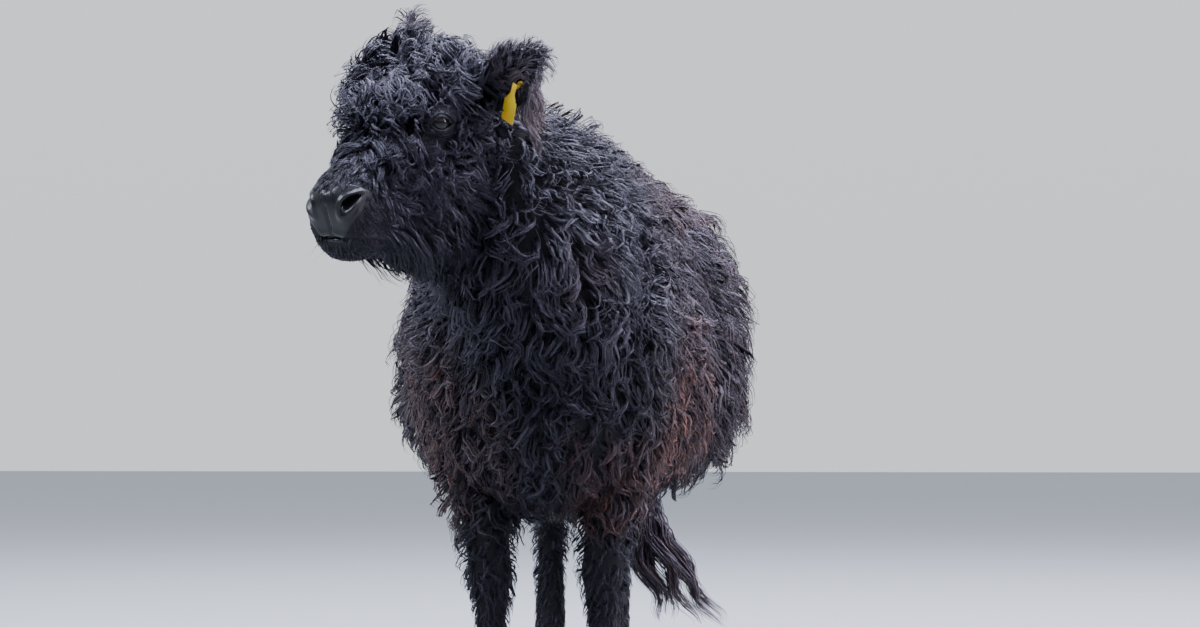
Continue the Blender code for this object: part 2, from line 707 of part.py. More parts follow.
def fan_size(vert):
    """How many faces of a vertex can be reached from its first face across the vertex's own edges."""
    seen, todo = set(), [vert.link_faces[0]]
    while todo:
        face = todo.pop()
        if face not in seen:
            seen.add(face)
            todo += [near for edge in face.edges if vert in edge.verts for near in edge.link_faces]
    return len(seen)


def settled(obj):
    """Welds the hair-thin slivers that unions leave. Returns whether the surface closes and never meets itself."""
    work = bmesh.new()
    work.from_mesh(obj.data)
    bmesh.ops.remove_doubles(work, verts=work.verts, dist=0.00002)
    bmesh.ops.delete(work, geom=[edge for edge in work.edges if not edge.link_faces], context="EDGES")
    bmesh.ops.delete(work, geom=[vert for vert in work.verts if not vert.link_faces], context="VERTS")
    sound = (all(len(edge.link_faces) == 2 for edge in work.edges)
             and all(fan_size(vert) == len(vert.link_faces) for vert in work.verts))
    if sound:
        bmesh.ops.triangulate(work, faces=work.faces)
        work.to_mesh(obj.data)
        largest_surface(obj)
    work.free()
    return sound


def first_sound(make):
    """Makes a node with one draw of its locks after another until its surface is sound."""
    for draw in range(0, 900, 100):
        made = make(draw)
        nodes = made if isinstance(made, (list, tuple)) else [made]
        if all([settled(node) for node in nodes]):
            return made
        print("another draw for", nodes[0].name)
        remove(*nodes)
    raise RuntimeError("no draw of the locks gave a sound surface")


def thinned(obj, faces):
    """Reduces a dense closed mesh to about that many triangles and keeps it closed."""
    dense = obj.data
    ratio = faces / sum(len(p.vertices) - 2 for p in dense.polygons)
    for step in range(30):
        applied(obj, ("DECIMATE", {"ratio": min(1.0, ratio * (1 + 0.013 * step)),
                                   "use_collapse_triangulate": True}))
        work = bmesh.new()
        work.from_mesh(obj.data)
        bmesh.ops.remove_doubles(work, verts=work.verts, dist=0.0012)
        bmesh.ops.holes_fill(work, edges=[e for e in work.edges if e.is_boundary], sides=0)
        work.to_mesh(obj.data)
        work.free()
        if is_closed(obj.data):
            return obj
        obj.data = dense
    raise RuntimeError(f"{obj.name} did not stay closed")


def reduced(source, name, low, high, faces):
    """The part of a dense skin inside a box, with about that many triangles."""
    made = copy_of(source, name)
    largest_surface(cut(made, box("bounds", low, high), "INTERSECT"))
    return thinned(made, faces)


def eye_axes(side):
    """Directions along the slit, up across it and out of the eye, in the head's frame."""
    along = Vector((0, math.cos(LID_SLOPE), math.sin(LID_SLOPE)))
    out = Vector((side, 0.30, 0.10)).normalized()
    up = out.cross(along).normalized() * side
    if up.z < 0:
        up = -up
    return along, up, out


def eye_parts(side):
    """The eyeball, and the lid, slit, socket and bare hollow that shape the head round it."""
    centre = Vector((EYE[0] * side, EYE[1], EYE[2]))
    frame = head_frame()
    turn = frame.to_3x3()
    along, up, out = (turn @ v for v in eye_axes(side))
    place = frame @ centre
    axes = (along, up, out)
    name = "left" if side > 0 else "right"
    ball = ellipsoid(f"eye_{name}", place, (EYE_RADIUS,) * 3, axes, 14, 8)
    shell = EYE_RADIUS + LID
    lid = ellipsoid("lid", place, (shell * 1.12, shell, shell), axes, 18, 10)
    slit = ellipsoid("slit", place + out * EYE_RADIUS, (SLIT_HALF[0], SLIT_HALF[1], 0.017), axes, 16, 8)
    socket = ellipsoid("socket", place, (EYE_RADIUS + GAP,) * 3, axes, 14, 8)
    bowl = ellipsoid("bowl", place + out * 0.034, (0.044, 0.031, 0.031), axes, 16, 10)
    return ball, lid, slit, socket, bowl


def mouth_cutter():
    """A thin curved blade that scores the line of the mouth into the muzzle to MOUTH_DEPTH."""
    half, thick, steps = 0.12, 0.0028, 9
    rows = []
    for k in range(steps):
        a = MOUTH_CORNER + (HEAD_LENGTH + 0.05 - MOUTH_CORNER) * k / (steps - 1)
        u = MOUTH_LEVELS[1] + (MOUTH_LEVELS[0] - MOUTH_LEVELS[1]) * k / (steps - 1)
        rows.append(in_head([(-half, a, u - thick / 2), (half, a, u - thick / 2),
                             (half, a, u + thick / 2), (-half, a, u + thick / 2)]))
    blade = mesh_object("mouth", *loft(rows))
    inner = mesh_object("inner", *loft(head_rings(-MOUTH_DEPTH, bare_too=True)))
    return cut(blade, inner)


def ear_axes(side):
    """Directions along the ear, across it and out of its cup."""
    turned = Vector((-math.sin(HEAD_TURN), -math.cos(HEAD_TURN), 0))
    left = Vector((0, 0, 1)).cross(turned)
    raised = EAR_RAISED["left" if side > 0 else "right"]
    swept = EAR_SWEPT["left" if side > 0 else "right"]
    level = left * (side * math.cos(swept)) + turned * math.sin(swept)
    along = level * math.cos(raised) + Vector((0, 0, math.sin(raised)))
    opening = (turned * 0.93 - Vector((0, 0, 0.30))).normalized()
    opening = (opening - along * opening.dot(along)).normalized()
    across = along.cross(opening) * side
    return along, across, opening


def ear_rings(side, count=7, steps=5):
    """Crescent sections of the ear from its rolled root to its tip."""
    along, across, opening = ear_axes(side)
    root = head_frame() @ Vector((EAR_ROOT[0] * side, EAR_ROOT[1], EAR_ROOT[2]))
    rings = []
    for k in range(count):
        t = k / (count - 1)
        half = EAR_HALF * (0.42 + 1.9 * t * (1 - t) ** 0.9 + 0.02) * (1 - 0.75 * t**4)
        cup = EAR_CUP * (1 - 0.75 * t)
        middle = root + along * (EAR_LENGTH * t) + across * (0.012 * math.sin(math.pi * t))
        back, front = [], []
        for j in range(steps + 1):
            s = 2 * j / steps - 1
            thick = EAR_THICK * (1 - 0.55 * abs(s)) * (1 - 0.45 * t)
            line = middle + across * (half * s) - opening * (cup * (1 - s * s) - cup * 0.6)
            back.append(line - opening * thick / 2)
            front.append(line + opening * thick / 2)
        rings.append(np.array([tuple(p) for p in back + front[::-1]]))
    return rings


def ear_tag():
    """The tag's plate with its narrow neck, and the pin with a button at each end that holds it in the ear."""
    along, across, opening = ear_axes(1)
    root = head_frame() @ Vector(EAR_ROOT)
    half, height = TAG_SIZE[0] / 2, TAG_SIZE[1]
    place = root + along * (EAR_LENGTH * TAG_PLACE) + across * TAG_LOW + opening * (EAR_CUP * 0.20)
    down = Vector((0, 0, -1)) - along * TAG_LEAN
    down = (down - opening * down.dot(opening)).normalized()
    side = down.cross(opening)
    outline = ((-0.009, -0.010), (0.009, -0.010), (0.010, 0.014), (half, 0.026), (half, 0.026 + height - 0.014),
               (half - 0.004, 0.026 + height - 0.010), (-half + 0.004, 0.026 + height - 0.010),
               (-half, 0.026 + height - 0.014), (-half, 0.026), (-0.010, 0.014))
    front = place + opening * TAG_FORWARD
    layers = [np.array([tuple(front + side * x + down * y + opening * z) for x, y in outline])
              for z in (-TAG_THICK / 2, TAG_THICK / 2)]
    plate = mesh_object("ear_tag", *loft(layers))
    face = TAG_FORWARD - TAG_THICK / 2
    spans = ((face - 0.001, face + 0.0055, 0.010), (-0.012, face + 0.001, TAG_PIN), (-0.014, -0.009, 0.012))
    pieces = []
    for low, high, radius in spans:
        ends = [ring(place + opening * z, side, down, radius, radius, radius, 1, 12) for z in (low, high)]
        pieces.append(mesh_object("pin", *loft(ends)))
    return fused(plate, pieces)


def claws(name, side, shift, base):
    """The two claws of a foot, standing flat on the ground under the pastern."""
    made = []
    rows, (_, _, _, _) = LEGS[name][0], LEGS[name]
    out, back = rows[-2][1], rows[-2][2]
    for half, word in ((-1, "inner"), (1, "outer")):
        x = side * out + shift[0] + side * half * 0.0215
        y = base + back + shift[1]
        rings = []
        for z, wide, behind, ahead in ((0.0, 0.0195, 0.036, 0.062), (0.012, 0.0200, 0.038, 0.058),
                                       (HOOF_TOP - GAP, 0.0175, 0.034, 0.040)):
            rings.append(ring((x, y, z), (1, 0, 0), (0, 1, 0), wide, behind, ahead, 0.85, 12))
        made.append(mesh_object(f"claw_{name}_{word}", *loft(rings)))
    return made


def material(name, colour, rough, metal=0.0):
    made = bpy.data.materials.new(name)
    made.use_nodes = True
    shader = made.node_tree.nodes["Principled BSDF"]
    shader.inputs["Base Color"].default_value = (*colour, 1)
    shader.inputs["Roughness"].default_value = rough
    shader.inputs["Metallic"].default_value = metal
    return made


def finished(obj, name, finish):
    """Names a node, gives it its material and shades it smooth with its real edges kept."""
    obj.name = name
    obj.data.name = name
    obj.data.materials.clear()
    obj.data.materials.append(finish)
    obj.data.shade_smooth()
    obj.data.set_sharp_from_angle(angle=math.radians(50))
    return obj


def clear_scene():
    for obj in list(bpy.data.objects):
        bpy.data.objects.remove(obj)


def leg_boxes(name, gap):
    """The spaces of the upper and lower leg as (low, high) corners, shrunk by gap."""
    side = 1 if name.endswith("left") else -1
    fore = name.startswith("fore")
    top, joint = (FORE_TOP, KNEE) if fore else (HIND_TOP, HOCK)
    y0, y1 = (-0.34, 0.34) if fore else (0.80, 1.46)
    x0, x1 = sorted((side * 0.001, side * 0.45))
    upper = ((x0 + gap, y0 + gap, joint + gap), (x1 - gap, y1 - gap, top - gap))
    lower = ((x0 + gap, y0 + gap, HOOF_TOP), (x1 - gap, y1 - gap, joint - gap))
    return upper, lower


def make_trunk(skin, tree, draw):
    torso = fused(reduced(skin, "torso", (-1, -0.60, 0.28), (1, 2, 2), 1150), torso_locks(skin, tree, draw))
    cut(torso, slab("ahead", NECK_ROOT, 1, -GAP / 2))
    cut(torso, slab("behind", TAIL_ROOT, 1, -GAP / 2))
    for name in LEGS:
        upper, lower = leg_boxes(name, -GAP / 2)
        low = (lower[0][0], lower[0][1], -0.1)
        cut(torso, box("leg", low, upper[1]))
    return largest_surface(torso)


def make_neck(skin, tree, draw):
    neck = fused(reduced(skin, "neck", (-0.5, -0.75, 0.45), (0.5, 0.2, 1.6), 560), neck_locks(skin, tree, draw))
    cut(neck, slab("behind", NECK_ROOT, -1, -GAP / 2))
    cut(neck, head_wedge(GAP))
    return largest_surface(neck)


def make_leg(skin, tree, name, part, draw):
    upper, lower = leg_boxes(name, GAP / 2)
    low, high = upper if part == "upper" else lower
    reach = Vector((0.02, 0.02, 0.02))
    leg = reduced(skin, name, Vector(low) - reach, Vector(high) + reach, 190 if part == "upper" else 260)
    if part == "upper":
        fused(leg, leg_locks(skin, tree, name, draw))
    cut(leg, box("bounds", low, high), "INTERSECT")
    return largest_surface(leg)


def make_head(skin, tree, tag, draw):
    """The head and the bare muzzle, with lids, nostrils, lips and the line of the mouth, and both eyes."""
    head = copy_of(skin, "head")
    largest_surface(cut(head, head_wedge(0.03), "INTERSECT"))
    thinned(head, 950)
    eyes = [eye_parts(side) for side in (1, -1)]
    fused(head, head_clumps(skin, tree, draw))
    for eye in eyes:
        cut(head, eye[4])
    fused(head, [eye[1] for eye in eyes])
    for eye in eyes:
        cut(head, eye[2])
        cut(head, eye[3])
    turn = head_frame().to_3x3()
    for side in (1, -1):
        out = Vector((side * 0.45, 0.85, 0.10)).normalized()
        long = Vector((side * 0.70, -0.55, 0.40))
        long = (long - out * long.dot(out)).normalized()
        axes = [turn @ v for v in (long, out.cross(long), out)]
        place = in_head([(NOSTRIL[0] * side, NOSTRIL[1], NOSTRIL[2])])[0]
        cut(head, ellipsoid("nostril", place, NOSTRIL_RADII, axes, 14, 9))
    cut(head, mouth_cutter())
    muzzle_plane = (Vector(in_head([(0, MUZZLE_FROM, 0)])[0]), turn @ Vector((0, 0.97, 0.24)).normalized())
    muzzle = copy_of(head, "muzzle")
    cut(head, head_wedge(0), "INTERSECT")
    cut(head, slab("ahead", muzzle_plane, 1, -GAP / 2))
    cut(muzzle, slab("ahead", muzzle_plane, 1, GAP / 2), "INTERSECT")
    cut(head, swollen(tag))
    return [largest_surface(head), largest_surface(muzzle)] + [eye[0] for eye in eyes]


def swollen(obj):
    """A copy of obj grown by the gap, to cut its place out of a neighbour."""
    return applied(copy_of(obj, "swollen"), ("DISPLACE", {"strength": GAP, "mid_level": 0.0}))


def make_ear(side, name, neighbours, draw):
    """One ear with its fringe, cut away where it meets its neighbours."""
    ear = fused(mesh_object(name, *loft(ear_rings(side))), ear_locks(side, draw))
    for obj in neighbours:
        cut(ear, swollen(obj))
    return largest_surface(ear)


def make_tail(draw):
    """The dock, and the tuft at its end as wavy, tapered strands fused to a short core."""
    tail = mesh_object("tail", *loft(tail_rings(TAIL, 12, 8)))
    core = np.array(SWITCH[:4]) * (1, 1, 1, 0.8)
    core[-1, 3] = 0.006
    switch = mesh_object("tail_switch", *loft(tail_rings(core, 6, 7)))
    rng = random.Random(SEED + 20 + draw)
    strands = []
    for k in range(STRANDS):
        turn = 2 * math.pi * k / STRANDS
        rows = []
        for t, (x, y, z, half) in zip(np.linspace(0, 1, len(SWITCH)), SWITCH):
            wave = 0.013 * math.sin(2 * math.pi * (1.3 * t + k / STRANDS)) * (t > 0)
            spread = 0.010 + 0.030 * t
            rows.append((x + math.cos(turn) * spread + wave, y + math.sin(turn) * spread * 0.7,
                         z + t * rng.uniform(-0.01, 0.06), half * (0.55 if t < 1 else 0.25)))
        strands.append(mesh_object("strand", *loft(tail_rings(rows, 7, 4))))
    fused(switch, strands)
    parting = (Vector((0.062, 1.486, 0.480)), Vector((0.25, 0, -0.97)).normalized())
    cut(tail, slab("root", TAIL_ROOT, -1, -GAP / 2))
    cut(tail, slab("end", parting, 1, -GAP / 2))
    cut(switch, slab("start", parting, -1, -GAP / 2))
    return tail, largest_surface(switch)


def centred(nodes):
    """Moves every node so that the origin lies on the ground under the middle of the model."""
    low = Vector((min(v.co[k] for n in nodes for v in n.data.vertices) for k in range(3)))
    high = Vector((max(v.co[k] for n in nodes for v in n.data.vertices) for k in range(3)))
    shift = Vector((-(low.x + high.x) / 2, -(low.y + high.y) / 2, -low.z))
    for node in nodes:
        node.data.transform(Matrix.Translation(shift))
    return shift


def main():
    clear_scene()
    coat = material("winter_coat", (0.022, 0.019, 0.021), 0.62)
    bare = material("bare_muzzle", (0.030, 0.031, 0.034), 0.30)
    horn = material("hoof_horn", (0.060, 0.052, 0.046), 0.48)
    wet = material("wet_eye", (0.010, 0.008, 0.008), 0.06)
    plastic = material("tag_plastic", (0.86, 0.58, 0.05), 0.45)
    skin = whole_body(CORE_DEPTH)
    tree = BVHTree.FromObject(skin, bpy.context.evaluated_depsgraph_get())
    torso = first_sound(lambda draw: make_trunk(skin, tree, draw))
    neck = first_sound(lambda draw: make_neck(skin, tree, draw))
    tag = ear_tag()
    head, muzzle, *eyes = first_sound(lambda draw: make_head(skin, tree, tag, draw))
    nodes = [finished(torso, "torso", coat), finished(neck, "neck", coat), finished(head, "head", coat),
             finished(muzzle, "muzzle", bare)]
    nodes += [finished(eye, eye.name, wet) for eye in eyes]
    for side, name in ((1, "ear_left"), (-1, "ear_right")):
        ear = first_sound(lambda draw: make_ear(side, name, (head, neck, tag), draw))
        nodes.append(finished(ear, name, coat))
    nodes.append(finished(tag, "ear_tag", plastic))
    tail, switch = first_sound(make_tail)
    nodes += [finished(tail, "tail", coat), finished(switch, "tail_switch", coat)]
    for name, (_, side, shift, base) in LEGS.items():
        for part in ("upper", "lower"):
            leg = first_sound(lambda draw: make_leg(skin, tree, name, part, draw))
            nodes.append(finished(leg, f"{name}_{part}", coat))
        nodes += [finished(claw, claw.name, horn) for claw in claws(name, side, shift, base)]
    remove(skin)
    return centred(nodes)


SHIFT_USED = main()
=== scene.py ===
"""The looks of the Galloway cow: one skin under a curly winter coat, with eyes, ears, hooves, tail and tag.

Shapes are built in her own frame, as in the solids: the origin lies on the ground midway between the fore
feet, she faces -Y and her left is +X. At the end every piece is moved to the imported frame's place.
"""
import math

import bpy
import bmesh
import numpy as np
from mathutils import Matrix, Vector
from mathutils.bvhtree import BVHTree
from mathutils.kdtree import KDTree


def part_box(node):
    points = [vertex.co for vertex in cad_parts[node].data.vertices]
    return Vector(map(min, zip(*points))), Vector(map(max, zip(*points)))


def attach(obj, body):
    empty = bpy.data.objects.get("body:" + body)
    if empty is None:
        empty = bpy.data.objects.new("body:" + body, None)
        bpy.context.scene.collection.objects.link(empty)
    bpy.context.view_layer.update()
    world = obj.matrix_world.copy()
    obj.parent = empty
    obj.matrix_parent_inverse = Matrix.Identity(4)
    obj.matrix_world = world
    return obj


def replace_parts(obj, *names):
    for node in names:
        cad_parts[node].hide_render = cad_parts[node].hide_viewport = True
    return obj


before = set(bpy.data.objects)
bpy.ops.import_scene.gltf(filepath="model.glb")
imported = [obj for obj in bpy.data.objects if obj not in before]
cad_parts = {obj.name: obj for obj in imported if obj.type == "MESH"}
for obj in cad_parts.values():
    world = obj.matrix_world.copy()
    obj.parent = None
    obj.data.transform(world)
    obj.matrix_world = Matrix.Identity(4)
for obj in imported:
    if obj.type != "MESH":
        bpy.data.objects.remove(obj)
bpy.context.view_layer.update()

# Driving sizes in metres. They follow the solids, with eyes that look further ahead and open wider, and a tag
# that leans and turns more
WITHERS = 1.225
TRUNK_LENGTH = 1.64
TRUNK_FRONT = -0.27
BARREL_HALF = 0.375
HIND_FEET_Y = 1.19
COAT_DEPTH = 0.062
HEAD_COAT = 0.5
POLL = Vector((-0.161, -0.415, 1.319))
HEAD_TURN = math.radians(33)
HEAD_DROOP = math.radians(32.5)
HEAD_TILT = math.radians(-6)
HEAD_LENGTH = 0.466
EYE = (0.1010, 0.190, -0.012)
EYE_RADIUS = 0.0205
LID_SLOPE = math.radians(24)
EYE_FORWARD = 0.62
SLIT_HALF = (0.0200, 0.0150)
NOSTRIL = (0.050, 0.447, -0.058)
LIP_FRONT = (0.470, -0.124)
LIP_SLOPE = 0.62
LIP_CORNER = 0.378
EAR_ROOT = (0.086, 0.030, -0.034)
EAR_LENGTH = 0.165
EAR_HALF = 0.058
EAR_CUP = 0.034
EAR_THICK = 0.009
EAR_RAISED = {1: math.radians(24), -1: math.radians(62)}
EAR_SWEPT = {1: 0.0, -1: math.radians(-40)}
TAG_PLACE = 0.58
TAG_LOW = 0.030
TAG_FORWARD = 0.016
TAG_SIZE = (0.040, 0.058)
TAG_LEAN = 0.62
TAG_TURN = math.radians(22)
FORELOCK = (((-0.014, 0.060, -0.010), (0.172, 0.140, 0.118)), ((-0.016, 0.160, 0.020), (0.140, 0.125, 0.076)))
FORELOCK_HAIR = 0.050
NECK_ROOT = (np.array((0, -0.135, 0.94)), np.array((0, -0.912, 0.41)))
HEAD_WEDGE = ((-0.222, 0.50), (0.139, -0.312), (0.80, -0.135))
HOOF_TOP = 0.042
CLAW = (
    (0.0, 0.0180, 0.034, 0.060),
    (0.0015, 0.0193, 0.036, 0.0615),
    (0.012, 0.0200, 0.038, 0.058),
    (0.026, 0.0192, 0.036, 0.050),
    (0.036, 0.0186, 0.035, 0.0435),
    (0.040, 0.0188, 0.035, 0.041),
    (HOOF_TOP + 0.006, 0.0165, 0.031, 0.035),
)
CLAW_APART = 0.0215
SIDE = {1: "left", -1: "right"}

# Where the regions of the coat meet: heights on the fore and the hind legs, and how far back the tail begins
TRUNK_MIDDLE = 0.6
THIGH_TOP = (0.44, 0.55)
SHANK_TOP = (0.29, 0.42)
SHANK_FOOT = 0.045
TAIL_START = 1.42

# The skin's cells, of the trunk by itself and of the whole, and where they are divided more finely
TRUNK_CELL = 0.020
SKIN_CELL = 0.0085
FINE_MUZZLE = 0.345
FINE_EYE = 0.05

# The hollow and the short-haired patch of an eye, and the room that hair leaves round an eye and the tag
SOCKET_RADII = (0.046, 0.036, 0.0265)
SOCKET_OUT = 0.034
EYE_PATCH = ((0, 0.010, -0.008), (0.040, 0.050, 0.042))
EYE_ROOM = (0.030, 0.020)
TAG_ROOM = (0.029, 0.055)
TAG_ROOM_LOW = 0.033

# Of each ear: how far its hair fans out, its length and cell, and how much it gains at the low edge
EAR_HAIRS = {1: (1.5, 0.060, 0.0036, 2.3), -1: (2.8, 0.088, 0.0040, 0.2)}

TRUNK = (
    (0.00, 0.640, 0.500, 0.70, 0.14, 1.00),
    (0.02, 0.740, 0.440, 0.70, 0.36, 1.00),
    (0.06, 0.850, 0.385, 0.68, 0.54, 1.00),
    (0.12, 0.940, 0.362, 0.66, 0.66, 1.00),
    (0.21, 1.000, 0.358, 0.65, 0.73, 1.00),
    (0.32, 0.992, 0.364, 0.64, 0.83, 0.96),
    (0.45, 0.975, 0.365, 0.65, 0.95, 0.94),
    (0.58, 0.972, 0.360, 0.66, 1.00, 0.93),
    (0.70, 0.978, 0.385, 0.69, 0.98, 0.92),
    (0.80, 0.982, 0.440, 0.74, 0.88, 0.86),
    (0.89, 0.968, 0.500, 0.78, 0.76, 0.90),
    (0.95, 0.935, 0.570, 0.80, 0.60, 0.96),
    (0.985, 0.880, 0.640, 0.82, 0.38, 1.00),
    (1.00, 0.800, 0.700, 0.88, 0.12, 1.00),
)
NECK = (
    ((0.000, 0.200, 1.190), (0.000, -0.050, 0.560), 0.200),
    ((0.000, 0.020, 1.205), (0.000, -0.250, 0.640), 0.195),
    ((-0.034, -0.125, 1.225), (-0.022, -0.340, 0.765), 0.170),
    ((-0.092, -0.265, 1.258), (-0.065, -0.392, 0.900), 0.138),
    ((-0.146, -0.375, 1.285), (-0.112, -0.395, 1.040), 0.112),
)
HEAD = (
    (-0.12, -0.050, 0.150, 0.065, 0.064, 1.00),
    (0.00, -0.005, 0.220, 0.075, 0.092, 0.90),
    (0.12, 0.014, 0.265, 0.070, 0.108, 0.84),
    (0.26, 0.018, 0.290, 0.065, 0.113, 0.82),
    (0.40, 0.013, 0.285, 0.065, 0.106, 0.84),
    (0.54, 0.003, 0.256, 0.070, 0.088, 0.88),
    (0.67, -0.004, 0.222, 0.075, 0.072, 0.88),
    (0.79, -0.010, 0.194, 0.080, 0.066, 0.84),
    (0.90, -0.018, 0.176, 0.085, 0.070, 0.80),
    (0.97, -0.034, 0.150, 0.075, 0.064, 0.80),
    (1.00, -0.062, 0.110, 0.060, 0.050, 0.86),
)
FORE_LEG = (
    (1.020, 0.150, 0.060, 0.050, 0.110, 0.110),
    (0.900, 0.180, 0.020, 0.064, 0.150, 0.150),
    (0.760, 0.188, -0.020, 0.076, 0.160, 0.160),
    (0.620, 0.176, -0.010, 0.076, 0.135, 0.130),
    (0.500, 0.156, 0.005, 0.068, 0.100, 0.095),
    (0.400, 0.136, 0.000, 0.053, 0.074, 0.070),
    (0.330, 0.128, -0.004, 0.047, 0.052, 0.052),
    (0.285, 0.123, -0.008, 0.048, 0.046, 0.050),
    (0.235, 0.121, -0.004, 0.038, 0.038, 0.040),
    (0.170, 0.121, 0.000, 0.031, 0.034, 0.032),
    (0.105, 0.121, 0.000, 0.037, 0.044, 0.036),
    (0.062, 0.121, -0.014, 0.038, 0.040, 0.040),
    (0.042, 0.121, -0.022, 0.041, 0.040, 0.046),
    (0.015, 0.121, -0.026, 0.043, 0.040, 0.050),
)
HIND_LEG = (
    (1.060, 0.120, -0.070, 0.070, 0.150, 0.150),
    (0.920, 0.175, -0.080, 0.105, 0.195, 0.190),
    (0.780, 0.188, -0.080, 0.110, 0.195, 0.190),
    (0.650, 0.178, -0.060, 0.095, 0.160, 0.150),
    (0.550, 0.158, -0.010, 0.072, 0.110, 0.110),
    (0.480, 0.142, 0.040, 0.052, 0.080, 0.072),
    (0.425, 0.134, 0.062, 0.043, 0.062, 0.052),
    (0.360, 0.130, 0.058, 0.037, 0.046, 0.042),
    (0.250, 0.128, 0.034, 0.032, 0.038, 0.034),
    (0.110, 0.126, 0.010, 0.038, 0.044, 0.038),
    (0.064, 0.126, -0.008, 0.038, 0.040, 0.040),
    (0.042, 0.126, -0.018, 0.041, 0.040, 0.046),
    (0.015, 0.126, -0.022, 0.043, 0.040, 0.050),
)
LEGS = {
    "fore_left": (FORE_LEG, 1, (0, 0), 0.0),
    "fore_right": (FORE_LEG, -1, (0, 0), 0.0),
    "hind_left": (HIND_LEG, 1, (-0.066, -0.030), HIND_FEET_Y),
    "hind_right": (HIND_LEG, -1, (0.016, 0.020), HIND_FEET_Y),
}
TAIL = (
    (0.000, 1.270, 1.070, 0.040),
    (0.000, 1.380, 1.078, 0.038),
    (0.000, 1.448, 1.015, 0.034),
    (0.002, 1.478, 0.900, 0.030),
    (0.008, 1.488, 0.750, 0.027),
    (0.026, 1.488, 0.605, 0.025),
    (0.062, 1.486, 0.480, 0.023),
)
SWITCH = (
    (0.045, 1.487, 0.530, 0.020),
    (0.078, 1.486, 0.430, 0.032),
    (0.118, 1.482, 0.330, 0.036),
    (0.168, 1.476, 0.220, 0.036),
    (0.222, 1.470, 0.120, 0.026),
    (0.262, 1.466, 0.050, 0.010),
)

# The photo's camera, in her own frame
CAMERA_TURN = math.radians(4.5)
CAMERA_DISTANCE = 6.2
CAMERA_SIDE = -0.115
CAMERA_HEIGHT = 0.60
CAMERA_PITCH = math.radians(2.24)
CAMERA_LENS = 85.5

SEED = 11


def resampled(lines, count):
    """Reads rows of points at equal steps of Catmull-Rom curves through them."""
    before, after = 2 * lines[:, :1] - lines[:, 1:2], 2 * lines[:, -1:] - lines[:, -2:-1]
    ends = np.concatenate((before, lines, after), axis=1)
    at = np.linspace(0, lines.shape[1] - 1, count)
    k = np.minimum(at.astype(int), lines.shape[1] - 2)
    t = (at - k)[None, :, None]
    a, b, c, d = (ends[:, k + i] for i in range(4))
    return 0.5 * (2 * b + (c - a) * t + (2 * a - 5 * b + 4 * c - d) * t**2 + (3 * b - a - 3 * c + d) * t**3)


def smoothed(rows, count):
    """Reads one table of numbers at equal steps of a Catmull-Rom curve through its rows."""
    return resampled(np.array([rows], float), count)[0]


def unit(v):
    return v / np.maximum(np.linalg.norm(v, axis=-1, keepdims=True), 1e-9)


def step(x, low, high):
    """Rises smoothly from 0 at low to 1 at high, or falls where low is above high."""
    t = np.clip((np.asarray(x, float) - low) / (high - low), 0, 1)
    return t * t * (3 - 2 * t)


def ring(centre, across, up, half, rise, drop, square, sides):
    """One closed section: half wide to each side, rise above the centre and drop below it."""
    turn = np.arange(sides) * 2 * math.pi / sides
    s, c = np.sin(turn), np.cos(turn)
    wide = np.sign(s) * np.abs(s) ** square * half
    tall = np.sign(c) * np.abs(c) ** square * np.where(c > 0, rise, drop)
    return np.asarray(centre) + np.outer(wide, across) + np.outer(tall, up)


def tube_faces(count, sides):
    """Faces of an open tube of so many rings, each with so many points."""
    return [(i * sides + j, i * sides + (j + 1) % sides, (i + 1) * sides + (j + 1) % sides,
             (i + 1) * sides + j) for i in range(count - 1) for j in range(sides)]


def loft(rings):
    """Points and faces of a closed tube through rings of one size, with flat ends."""
    count, sides = len(rings), len(rings[0])
    first, last = tuple(range(sides))[::-1], tuple((count - 1) * sides + j for j in range(sides))
    return np.vstack(rings), [first, *tube_faces(count, sides), last]


def linked(name, mesh):
    made = bpy.data.objects.new(name, mesh)
    bpy.context.scene.collection.objects.link(made)
    return made


def mesh_object(name, *parts):
    """One mesh object from lists of points and faces, its faces turned outwards."""
    points, faces, start = [], [], 0
    for p, f in parts:
        points.append(np.asarray(p))
        faces += [tuple(i + start for i in face) for face in f]
        start += len(p)
    mesh = bpy.data.meshes.new(name)
    mesh.from_pydata(np.vstack(points).tolist(), [], faces)
    work = bmesh.new()
    work.from_mesh(mesh)
    bmesh.ops.recalc_face_normals(work, faces=work.faces)
    work.to_mesh(mesh)
    work.free()
    return linked(name, mesh)


def applied(obj, *modifiers):
    """Adds modifiers, each (kind, settings), and makes the result the object's own mesh."""
    for kind, settings in modifiers:
        modifier = obj.modifiers.new(kind, kind)
        for key, value in settings.items():
            setattr(modifier, key, value)
    done = bpy.data.meshes.new_from_object(obj.evaluated_get(bpy.context.evaluated_depsgraph_get()))
    obj.modifiers.clear()
    obj.data = done
    return obj


def taken_apart(obj):
    """Takes an object out of the scene and gives its points and faces."""
    points = points_of(obj.data)
    faces = [tuple(f.vertices) for f in obj.data.polygons]
    bpy.data.objects.remove(obj)
    return points, faces


def numbers_of(rows, what):
    """One setting of every row, three numbers to a row."""
    flat = np.empty(len(rows) * 3)
    rows.foreach_get(what, flat)
    return flat.reshape(-1, 3)


def points_of(mesh):
    return numbers_of(mesh.vertices, "co")


def normals_of(mesh):
    return numbers_of(mesh.vertex_normals, "vector")


def mark(mesh, word, values):
    """Gives every point of a mesh a number that its material reads."""
    layer = mesh.attributes.new(word, "FLOAT", "POINT")
    layer.data.foreach_set("value", np.ascontiguousarray(values, dtype=np.float32).ravel())


def finished(obj, material, sharp=None):
    """Smooth shading and one material. Edges over the angle sharp, in degrees, stay sharp."""
    obj.data.shade_smooth()
    if sharp:
        obj.data.set_sharp_from_angle(angle=math.radians(sharp))
    obj.data.materials.append(material)
    return obj


